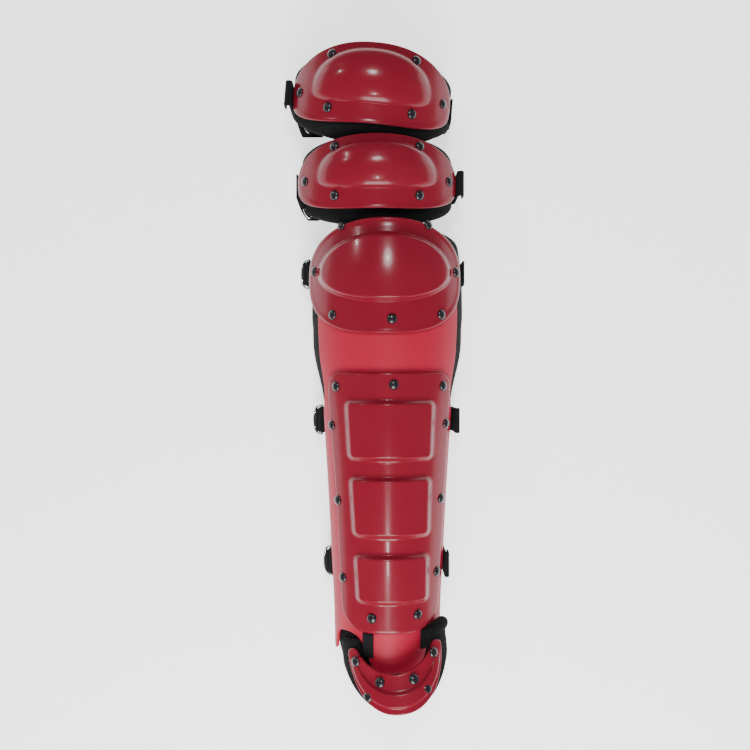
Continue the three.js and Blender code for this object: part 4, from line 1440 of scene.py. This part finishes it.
class FootGuard:
    """Bent crescent plate with a raised step, and the pad behind it."""

    SEAT = Seat(6.6, -264.8, 6.0)
    ARCH = Section(56.0, 36.0, 60.2)
    NOTCH = Crescent(35.5, 18, 5, 5, 1.8)
    OUTER = Crescent(45.5, 52, 5, 5, 2.4)
    PAD_NOTCH = Crescent(33, 21, 11, 15, 2.8)
    PAD_OUTER = Crescent(51.5, 53, 11, 15, 2.4)
    RIVETS = ((-.84, .13), (.80, .10), (-.37, .46), (.33, .46), (-.64, .70), (.58, .66))
    SLOPE = 0.34
    EASE = 0.4
    STEP = 2.4
    RIM = 1.2
    STEP_IN = (0.42, 0.50)   # shares of the plate's depth where the step rises
    STEP_OUT = (0.78, 0.86)  # and where it falls
    TIP_REACH = 30.0
    TIP_ROUND = 4.5
    WALL = 3.0
    PAD_WALL = 8.0
    PAD_RIM = 0.22           # share of the pad's wall that is left at its edges
    PAD_SIDE = 0.16          # share of its depth over which it thins to an edge
    PAD_TIP = 0.14           # angle over which it thins to a tip
    SEAM = 0.8
    TURN = math.pi / 2
    ROWS = (0, 0.01, 0.025, 0.045, *spread(0.07, 0.40, 7)[:-1], *spread(0.40, 0.52, 7)[:-1],
            *spread(0.52, 0.76, 7)[:-1], *spread(0.76, 0.88, 7)[:-1], 0.88, 0.91, 0.93, 0.955, 0.975, 0.99, 1)
    ROLL = ((34, -253, 70), (42, -250, 68), (50, -247, 61), (57, -244, 49))
    ROLL_RADIUS = 6.5
    ROLL_END = 0.7           # stretch of the roll, in knots, over which its ends close
    ROLL_TIP = 0.05          # radius that is left at its ends

    def __init__(self, sculpt: Sculpt) -> None:
        """Args: sculpt: the builder."""
        self.sculpt = sculpt

    def height(self, x: float, y: float, out: float = 0.0) -> float:
        """Height of the plate over the ground, falling towards the toes."""
        past = y + self.NOTCH.depth
        return self.ARCH.height(x, out) - self.SLOPE * (past if past < 0 else self.EASE * past)

    def build(self) -> None:
        """Builds the plate, its rivets and its pad."""
        def place(angle: float, share: float) -> Vector:
            """Point of the plate's face.

            Args:
                angle: angle of the crescent.
                share: share of its depth.

            Returns:
                The point.
            """
            x, y = between(self.NOTCH, self.OUTER, angle, share)
            to_tip = self.TURN - abs(angle)
            step = self.STEP * smoothstep(*self.STEP_IN, share) * (1 - smoothstep(*self.STEP_OUT, share))
            step *= smoothstep(0.15, 0.5, to_tip)
            across = min(1.0, abs(2 * share - 1))
            y -= self.TIP_ROUND * (1 - math.sqrt(1 - across * across)) * (1 - smoothstep(0.0, 0.4, to_tip))
            return self.SEAT.put(x, y, self.height(x, y) + step)

        def drop(angle: float, share: float) -> float:
            """How far both faces draw in at the rim.

            Args:
                angle: angle of the crescent.
                share: share of its depth.

            Returns:
                The distance in millimetres.
            """
            gap = math.dist(self.NOTCH.point(angle), self.OUTER.point(angle))
            to_tip = (self.TURN - abs(angle)) * self.TIP_REACH
            return rounded(min(share * gap, (1 - share) * gap, to_tip), self.RIM)

        plate = self.sculpt.skin(eased(-self.TURN, self.TURN, 120), self.ROWS, place,
                                 lambda u, v: -drop(u, v), lambda u, v: self.WALL - drop(u, v))
        self.sculpt.finish("foot_plate", plate, Slot.GLOSS, "foot_plate")
        places = [(across * self.OUTER.half, -along * self.OUTER.depth) for across, along in self.RIVETS]
        self.sculpt.rivets("foot_plate", self.SEAT, self.height, places)
        self.build_pad()
        self.build_roll()

    def build_pad(self) -> None:
        """Builds the pad behind the plate."""
        out = -self.WALL - self.SEAM - self.PAD_WALL / 2

        def place(angle: float, share: float) -> Vector:
            """Point of the pad's middle surface."""
            x, y = between(self.PAD_NOTCH, self.PAD_OUTER, angle, share)
            return self.SEAT.put(x, y, self.height(x, y, out))

        def swell(angle: float, share: float) -> float:
            """Half the pad's thickness, pillowed at its edges.

            Args:
                angle: angle of the crescent.
                share: share of its depth.

            Returns:
                Half the thickness.
            """
            near = min(1.0, min(share, 1 - share) / self.PAD_SIDE, (self.TURN - abs(angle)) / self.PAD_TIP)
            pillow = math.sqrt(max(0.0, 1 - (1 - near) ** 2))
            return self.PAD_WALL / 2 * (self.PAD_RIM + (1 - self.PAD_RIM) * pillow)

        pad = self.sculpt.skin(eased(-self.TURN, self.TURN, 100), eased(0, 1, 26), place, swell, swell)
        piece = self.sculpt.finish("foot_pad", pad, Slot.PADDING, "foot_pad")

    def build_roll(self) -> None:
        """Rolled upper end of the pad, on the right beside the shin plate."""
        last = len(self.ROLL) - 1
        axes = [[(number, knot[axis]) for number, knot in enumerate(self.ROLL)] for axis in range(3)]

        def centre(step: float) -> Vector:
            """Point of the roll's middle line."""
            return Vector([along_table(rows, step) for rows in axes])

        def place(angle: float, step: float) -> Vector:
            """Point of the roll's skin.

            Args:
                angle: angle round it.
                step: number and share of its knots.

            Returns:
                The point.
            """
            run = (centre(step + 0.02) - centre(step - 0.02)).normalized()
            side = run.cross(Vector((0, 0, 1))).normalized()
            up = side.cross(run)
            near = min(1.0, min(step, last - step) / self.ROLL_END)
            radius = self.ROLL_RADIUS * math.sqrt(max(0.0, 1 - (1 - near) ** 2)) + self.ROLL_TIP
            return centre(step) + (side * math.cos(angle) + up * math.sin(angle)) * radius

        bm = bmesh.new()
        bmesh.ops.create_grid(bm, x_segments=24, y_segments=40, size=1.0)
        for vert in bm.verts:
            vert.co = place(math.pi * (vert.co.x + 1), last * (vert.co.y + 1) / 2)
        bmesh.ops.remove_doubles(bm, verts=bm.verts, dist=WELD)
        bmesh.ops.holes_fill(bm, edges=bm.edges, sides=0)
        surface = bm.loops.layers.uv.new("surface")
        for face in bm.faces:
            for loop in face.loops:
                loop[surface].uv = (loop.vert.co.x * MM, (loop.vert.co.y + loop.vert.co.z) * MM)
        bmesh.ops.recalc_face_normals(bm, faces=bm.faces)
        piece = self.sculpt.finish("foot_pad_roll", bm, Slot.PADDING)


@dataclass(frozen=True)
class Band:
    """Webbing band: its width and thickness in millimetres."""

    width: float = 25.0
    thick: float = 2.0
    selvedge: float = 1.0    # share of the thickness that is left at its edges
    rows: Sequence[float] = (-0.5, -0.46, -0.2, 0.2, 0.46, 0.5)

    def shape(self, sculpt: Sculpt, line: Table, seat: Seat, y: float) -> bmesh.types.BMesh:
        """Band that follows a line.

        Args:
            sculpt: the builder.
            line: x and z places of the band's middle line.
            seat: the axes that the line is in.
            y: place of the band's middle along the guard.

        Returns:
            The band, still in the guard's axes.
        """
        def place(step: float, side: float) -> Vector:
            """Point of the band's middle surface."""
            x, z = line[round(step)]
            return seat.put(x, y + side * self.width, z)

        def half(step: float, side: float) -> float:
            """Half the band's thickness."""
            return self.thick / 2 * (self.selvedge if abs(side) > 0.48 else 1.0)

        return sculpt.skin([float(step) for step in range(len(line))], self.rows, place, half, half)


def run_length(line: Table) -> float:
    """Length of a line of x and z places."""
    return sum(math.dist(first, second) for first, second in zip(line, line[1:]))


class Straps:
    """Bands across the back of the leg, with the tabs and rings they hook on."""

    SHIN = (("knee", 101.2, 0.0, 32.0), ("calf", -47.3, 4.2, 47.0), ("ankle", -190.5, 4.2, 47.0))
    GAP = 1.8
    HOOK_END = 22.0
    HOOK_DROP = 13.2
    CORNER = 8.0
    WIRE = 1.3
    EYE_GAP = 0.35
    TAB = 9.0
    TAB_GAP = 1.7            # distance between the two layers of a tab
    TAB_TAIL = (3.6, 5.5, 8.0)
    EYE_TURN = -1.62 * math.pi
    RING_DEPTH = 11.0
    RING_DROP = 42.0
    FOLD = 2.6               # radius of the fold at the upper end of a cap's strap
    FOLD_SHIN = 1.4          # the same for a strap of the shin
    FOLD_DROP = 12.0
    FILL_BULGE = 3.4         # bulge of the webbing that fills a ring
    FILL_GAP = 2.8           # what it leaves free of the ring's depth
    FILL_TAPER = 0.42
    FILL_THICK = 1.4
    EYE = 0.8                # distance of a tab's eye from the liner, and half the tab's fold
    LIFT = 2.0               # height of a ring's bar over the end of its strap

    def __init__(self, sculpt: Sculpt, arch: ShinArch, upper: KneeCap, middle: KneeCap) -> None:
        """Args: sculpt: the builder. arch: the shin's arch. upper, middle: the two upper caps."""
        self.sculpt, self.arch, self.upper, self.middle = sculpt, arch, upper, middle
        self.band = Band(selvedge=0.55, rows=(-0.5, -0.47, -0.4, -0.2, 0, 0.2, 0.4, 0.47, 0.5))
        self.tab = Band(thick=1.5)

    def fold(self, x: float, top: float, radius: float) -> list[tuple[float, float]]:
        """Fold outwards at the upper end of a band.

        Args:
            x: place of the band's side.
            top: height of the fold.
            radius: radius of the fold, or 0 for none.

        Returns:
            Places from the band's side to its loose end.
        """
        if not radius:
            return []
        arc = [(x + radius - radius * math.cos(angle), top - radius + radius * math.sin(angle))
               for angle in spread(0, math.pi, 12)[1:]]
        return arc + [(x + 2 * radius, top - radius - z) for z in spread(0, self.FOLD_DROP, 4)[1:]]

    def line(self, half: float, left_top: float, right_top: float, left_fold: float = 0.0,
             right_fold: float = 0.0) -> list[tuple[float, float]]:
        """Middle line of a band: down one side, flat on the ground and up the other side.

        Args:
            half: half the width of what the band goes round.
            left_top: height of its left end.
            right_top: height of its right end.
            left_fold: radius of the fold there, or 0 for none.
            right_fold: the same on the right.

        Returns:
            Its x and z places.
        """
        x, low, radius = half + self.GAP, self.band.thick / 2, self.CORNER
        points = [(-across, up) for across, up in reversed(self.fold(x, left_top, left_fold))]
        points += [(-x, z) for z in spread(left_top - left_fold, low + radius, 12)]
        points += [(-x + radius - radius * math.cos(angle), low + radius - radius * math.sin(angle))
                   for angle in spread(0, math.pi / 2, 8)[1:]]
        points += [(place, low) for place in spread(-x + radius, x - radius, 40)[1:]]
        points += [(x - radius + radius * math.sin(angle), low + radius - radius * math.cos(angle))
                   for angle in spread(0, math.pi / 2, 8)[1:]]
        points += [(x, z) for z in spread(low + radius, right_top - right_fold, 12)[1:]]
        return points + self.fold(x, right_top, right_fold)

    def build(self) -> None:
        """Builds every band, tab and ring."""
        for cap in (self.upper, self.middle):
            left, right = cap.sizes.strap_left, cap.sizes.strap_right
            line = self.line(cap.outline.half - 0.5, left, right, self.FOLD * (left > right),
                             self.FOLD * (right > left))
            self.build_band(cap.sizes.name, line, cap.seat, 0.0)
        wrap = self.WIRE + self.EYE_GAP + self.EYE * self.band.thick
        for label, y, over, reach in self.SHIN:
            half = max(self.arch.at(y + side).half for side in (-self.band.width / 2, self.band.width / 2))
            foot = self.arch.at(y).foot
            hook_end = min(self.HOOK_END, foot - self.HOOK_DROP)
            right = reach if over > 0 else min(reach, foot + 0.8)
            line = self.line(half + over, hook_end, right, 0.0, self.FOLD_SHIN * (over > 0))
            self.build_band(label, line, Seat(), y)
            bar = (-half - self.EYE - wrap, y, hook_end + wrap + self.LIFT)
            self.build_ring(label, bar)
            self.build_tab(label, bar, wrap - self.EYE)
            self.build_fill(label, bar)

    def build_band(self, label: str, line: Table, seat: Seat, y: float) -> None:
        """Args:
            label: the strap's name.
            line: x and z places of its middle line.
            seat: the line's axes.
            y: its place along them.
        """
        name = f"strap_{label}"
        piece = self.sculpt.finish(name, self.band.shape(self.sculpt, line, seat, y), Slot.WEBBING, name)
        run_length(line) * MM

    def build_tab(self, label: str, bar: Point, radius: float) -> None:
        """Builds a webbing tab folded round the straight bar of its ring.

        Args:
            label: the strap's name.
            bar: the middle of the bar.
            radius: radius of the tab's eye.
        """
        x, y, z = bar
        line = [(x + radius, height) for height in spread(z + self.TAB, z, 6)]
        line += [(x + radius * math.cos(angle), z + radius * math.sin(angle))
                 for angle in spread(0, self.EYE_TURN, 22)[1:]]
        line += [(x + radius - self.TAB_GAP, z + height) for height in self.TAB_TAIL]
        name = f"tab_{label}"
        piece = self.sculpt.finish(name, self.tab.shape(self.sculpt, line, Seat(), y), Slot.WEBBING, name)
        run_length(line) * MM

    def build_ring(self, label: str, bar: Point) -> None:
        """Builds a D-ring that hangs out and down from the middle of its bar.

        Args:
            label: the strap's name.
            bar: the middle of the ring's straight bar.
        """
        x, y, z = bar
        drop = math.radians(self.RING_DROP)
        out = Vector((-math.cos(drop), 0, -math.sin(drop)))
        points = []
        for angle in spread(0, 2 * math.pi, 72)[:-1]:
            sine = math.sin(angle)
            bowed = max(0.0, math.cos(angle)) ** 0.7
            along = (self.band.width / 2 + 2) * math.copysign(abs(sine) ** 0.8, sine)
            points.append(Vector((x, y + along, z)) + out * self.RING_DEPTH * bowed)
        self.sculpt.wire(f"ring_{label}", points, self.WIRE, True, Slot.CHROME, f"ring_{label}")

    def build_fill(self, label: str, bar: Point) -> None:
        """Builds the webbing of the hooked strap that fills the ring on a bar.

        Args:
            label: the strap's name.
            bar: the middle of the ring's straight bar.
        """
        x, y, z = bar
        drop = math.radians(self.RING_DROP)
        out = Vector((-math.cos(drop), 0, -math.sin(drop)))
        up = Vector((-math.sin(drop), 0, math.cos(drop)))

        def place(share: float, side: float) -> Vector:
            """Point of the webbing's middle surface.

            Args:
                share: share of the ring's depth.
                side: share of its width, from its middle.

            Returns:
                The point.
            """
            width = (self.band.width - 1) * (1 - self.FILL_TAPER * share ** 2)
            lift = self.FILL_BULGE * math.sin(math.pi * share)
            reach = (self.RING_DEPTH - self.FILL_GAP) * share
            return Vector((x, y + side * width, z)) + out * reach + up * lift

        columns = spread(0, 1, 12)
        half = self.FILL_THICK / 2
        bm = self.sculpt.skin(columns, spread(-0.5, 0.5, 8), place, lambda u, v: half, lambda u, v: half)
        piece = self.sculpt.finish(f"ring_fill_{label}", bm, Slot.WEBBING)
        length = sum((place(b, 0) - place(a, 0)).length for a, b in zip(columns, columns[1:]))


@dataclass(frozen=True)
class HookEnd:
    """Loose end of a strap under a cap's lower corner, with its wire hook: its line seen from the front."""

    name: str
    start: tuple[float, float]
    end: tuple[float, float]
    curl: float
    rests_on: str
    height: float = 44.0
    fall: float = 10.0
    width: float = 11.0
    thick: float = 2.0
    wire: float = 0.8
    loop_long: float = 5.5
    loop_wide: float = 1.9

    def place(self, share: float, side: float) -> Vector:
        """Point of the strap's middle surface.

        Args:
            share: share of its length.
            side: share of its width, from its middle.

        Returns:
            The point.
        """
        (x0, y0), (x1, y1) = self.start, self.end
        x = x0 + (x1 - x0) * share + self.curl * share ** 3 + side * self.width
        return Vector((x, y0 + (y1 - y0) * share, self.height - self.fall * share))

    def build(self, sculpt: Sculpt) -> None:
        """Builds the strap's end and its hook.

        Args:
            sculpt: the builder.
        """
        columns = spread(0, 1, 16)
        half = self.thick / 2
        bm = sculpt.skin(columns, spread(-0.5, 0.5, 8), self.place, lambda u, v: half, lambda u, v: half)
        piece = sculpt.finish(f"strap_end_{self.name}", bm, Slot.WEBBING)
        length = sum((self.place(b, 0) - self.place(a, 0)).length for a, b in zip(columns, columns[1:]))
        middle = self.place(0.7, -0.1) + Vector((0, 0, half + self.wire))
        run = (self.place(0.95, 0) - self.place(0.45, 0)).normalized()
        across = run.cross(Vector((0, 0, 1))).normalized()
        loop = [middle + run * self.loop_long * math.cos(angle) + across * self.loop_wide * math.sin(angle)
                for angle in spread(0, 2 * math.pi, 40)[:-1]]
        sculpt.wire(f"strap_hook_{self.name}", loop, self.wire, True, Slot.CHROME)


class FootWebbing:
    """Short webbing strips beside the tongue."""

    STRIPS = (("left", -19.0, -1.0, -24.0), ("right", 37.0, 2.0, -18.0))
    WIDTH = 10.0
    THICK = 1.2
    OVER = 5.0

    def __init__(self, sculpt: Sculpt, arch: ShinArch) -> None:
        """Args: sculpt: the builder. arch: the arch they lie on."""
        self.sculpt, self.arch = sculpt, arch

    def build(self) -> None:
        """Builds both strips."""
        length = self.sculpt.layout.plate_length
        for side, x, top, bottom in self.STRIPS:
            def place(across: float, y: float, centre: float = x) -> Vector:
                """Point of the strip's middle surface."""
                spot = centre + across * self.WIDTH
                return Vector((spot, y, self.arch.height(spot, y, self.OVER + self.THICK / 2)))

            bm = self.sculpt.skin(spread(-0.5, 0.5, 8), spread(top - length, bottom - length, 16), place,
                                  lambda u, v: self.THICK / 2, lambda u, v: self.THICK / 2)
            name = f"foot_webbing_{side}"
            piece = self.sculpt.finish(name, bm, Slot.WEBBING, name)
            width = (place(0.5, top - length) - place(-0.5, top - length)).length


class LampShape(Enum):
    """Face of an area light."""

    DISK = "DISK"
    SQUARE = "SQUARE"


@dataclass(frozen=True)
class Studio:
    """Camera, floor and lights of the photograph."""

    camera_height: float = 0.900
    lens: float = 41.14
    liner_offset: float = -0.0123
    plate_offset: float = -0.0019
    horizon: float = 0.30
    zenith: float = 0.14
    floor_glow: float = 1.5
    floor_half: float = 3.0

    def light(self, name: str, place: Vector, aim: Vector, size: float, power: float,
              shape: LampShape = LampShape.DISK) -> None:
        """Area light at a place, turned to an aim.

        Args:
            name: the light's name.
            place: its place in metres.
            aim: the point that it faces.
            size: its width in metres.
            power: its power in watts.
            shape: the shape of its face.
        """
        data = bpy.data.lights.new(name, "AREA")
        data.shape = shape.value
        data.size = size
        data.energy = power
        lamp = bpy.data.objects.new(name, data)
        lamp.location = place
        lamp.rotation_euler = (aim - place).to_track_quat("-Z", "Y").to_euler()
        bpy.context.scene.collection.objects.link(lamp)

    def build(self, layout: Layout) -> None:
        """Sets up the camera, the floor and the lights.

        Args:
            layout: the guard's axes.
        """
        scene = bpy.context.scene
        camera = bpy.data.objects.new("camera", bpy.data.cameras.new("camera"))
        camera.data.lens = self.lens
        camera.data.sensor_width = 36.0
        camera.location = (layout.axis_x * MM + self.liner_offset, layout.plate_top * MM + self.plate_offset,
                           self.camera_height)
        scene.collection.objects.link(camera)
        scene.camera = camera
        self.build_floor()
        scene.world = self.make_world()
        aim = Vector((0, 0, 0.05))
        self.light("head_lamp", Vector((0.02, 1.00, 2.0)), aim, 0.10, 5.5)
        self.light("head_glow", Vector((0.02, 1.02, 2.1)), aim, 0.5, 16.0)
        self.light("foot_lamp", Vector((0.02, -0.82, 2.0)), aim, 0.16, 7.0)
        self.light("far_lamp", Vector((-1.9, 1.5, 1.5)), aim, 0.12, 8.0)
        self.light("foot_box", Vector((0.0, -1.15, 0.95)), Vector((0, -0.3, 0.05)), 0.8, 30.0,
                   LampShape.SQUARE)

    def build_floor(self) -> None:
        """Lays the pale floor."""
        bm = bmesh.new()
        bmesh.ops.create_grid(bm, x_segments=1, y_segments=1, size=self.floor_half)
        mesh = bpy.data.meshes.new("floor")
        bm.to_mesh(mesh)
        bm.free()
        floor = bpy.data.objects.new("floor", mesh)
        bpy.context.scene.collection.objects.link(floor)
        material, _, shader = new_material("pale_floor")
        shader.inputs["Base Color"].default_value = (0.93, 0.93, 0.93, 1)
        shader.inputs["Roughness"].default_value = 0.9
        shader.inputs["Emission Color"].default_value = (1, 1, 1, 1)
        shader.inputs["Emission Strength"].default_value = self.floor_glow
        mesh.materials.append(material)

    def make_world(self) -> bpy.types.World:
        """Soft sky, brighter at its horizon than overhead.

        Returns:
            The world.
        """
        world = bpy.data.worlds.new("studio")
        world.use_nodes = True
        sky = Graph(world.node_tree)
        direction = sky.add("ShaderNodeTexCoord").outputs["Generated"]
        height = sky.add("ShaderNodeSeparateXYZ", {0: direction}).outputs[2]
        backdrop = world.node_tree.nodes["Background"]
        backdrop.inputs["Color"].default_value = (1, 1, 1, 1)
        strength = sky.remap(height, 0.1, 0.75, self.horizon, self.zenith)
        world.node_tree.links.new(strength, backdrop.inputs["Strength"])
        return world


def main() -> None:
    """Builds the guard and its view."""
    logging.basicConfig(level=logging.INFO)
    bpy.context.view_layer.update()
    layout = Layout.from_frame()
    LOG.info("layout %s", layout)
    sculpt = Sculpt(layout, Finishes())
    arch = ShinArch(layout)
    upper = KneeCap(sculpt, Seat(-15.8, 272.2, -4.7),
                    CapSizes("upper", 88.0, 45.0, 35.0, 221.9 - 272.2, -4.2, 10.0, pad_short=9.0))
    middle = KneeCap(sculpt, Seat(-10.4, 188.9),
                     CapSizes("middle", 92.0, 40.0, 33.0, 140.6 - 188.9, -8.2, 1.0, pad_top_back=16.0,
                              pad_bottom_back=27.0, pad_bottom_power=1.7, strap_left=32.0, strap_right=47.0))
    upper.build()
    middle.build()
    Backing(sculpt, middle).build()
    LowerCap(sculpt, arch).build()
    ShinPlate(sculpt, arch).build()
    ShinShell(sculpt, arch).build()
    Liner(sculpt, arch).build()
    FootGuard(sculpt).build()
    FootWebbing(sculpt, arch).build()
    Straps(sculpt, arch, upper, middle).build()
    HookEnd("upper", (-84.0, 268.0), (-78.0, 238.0), 3.0, "pad_upper", width=21.0).build(sculpt)
    HookEnd("middle", (-85.0, 175.0), (-79.0, 154.0), 5.0, "pad_middle").build(sculpt)
    Studio().build(layout)


if __name__ == "__main__":
    main()
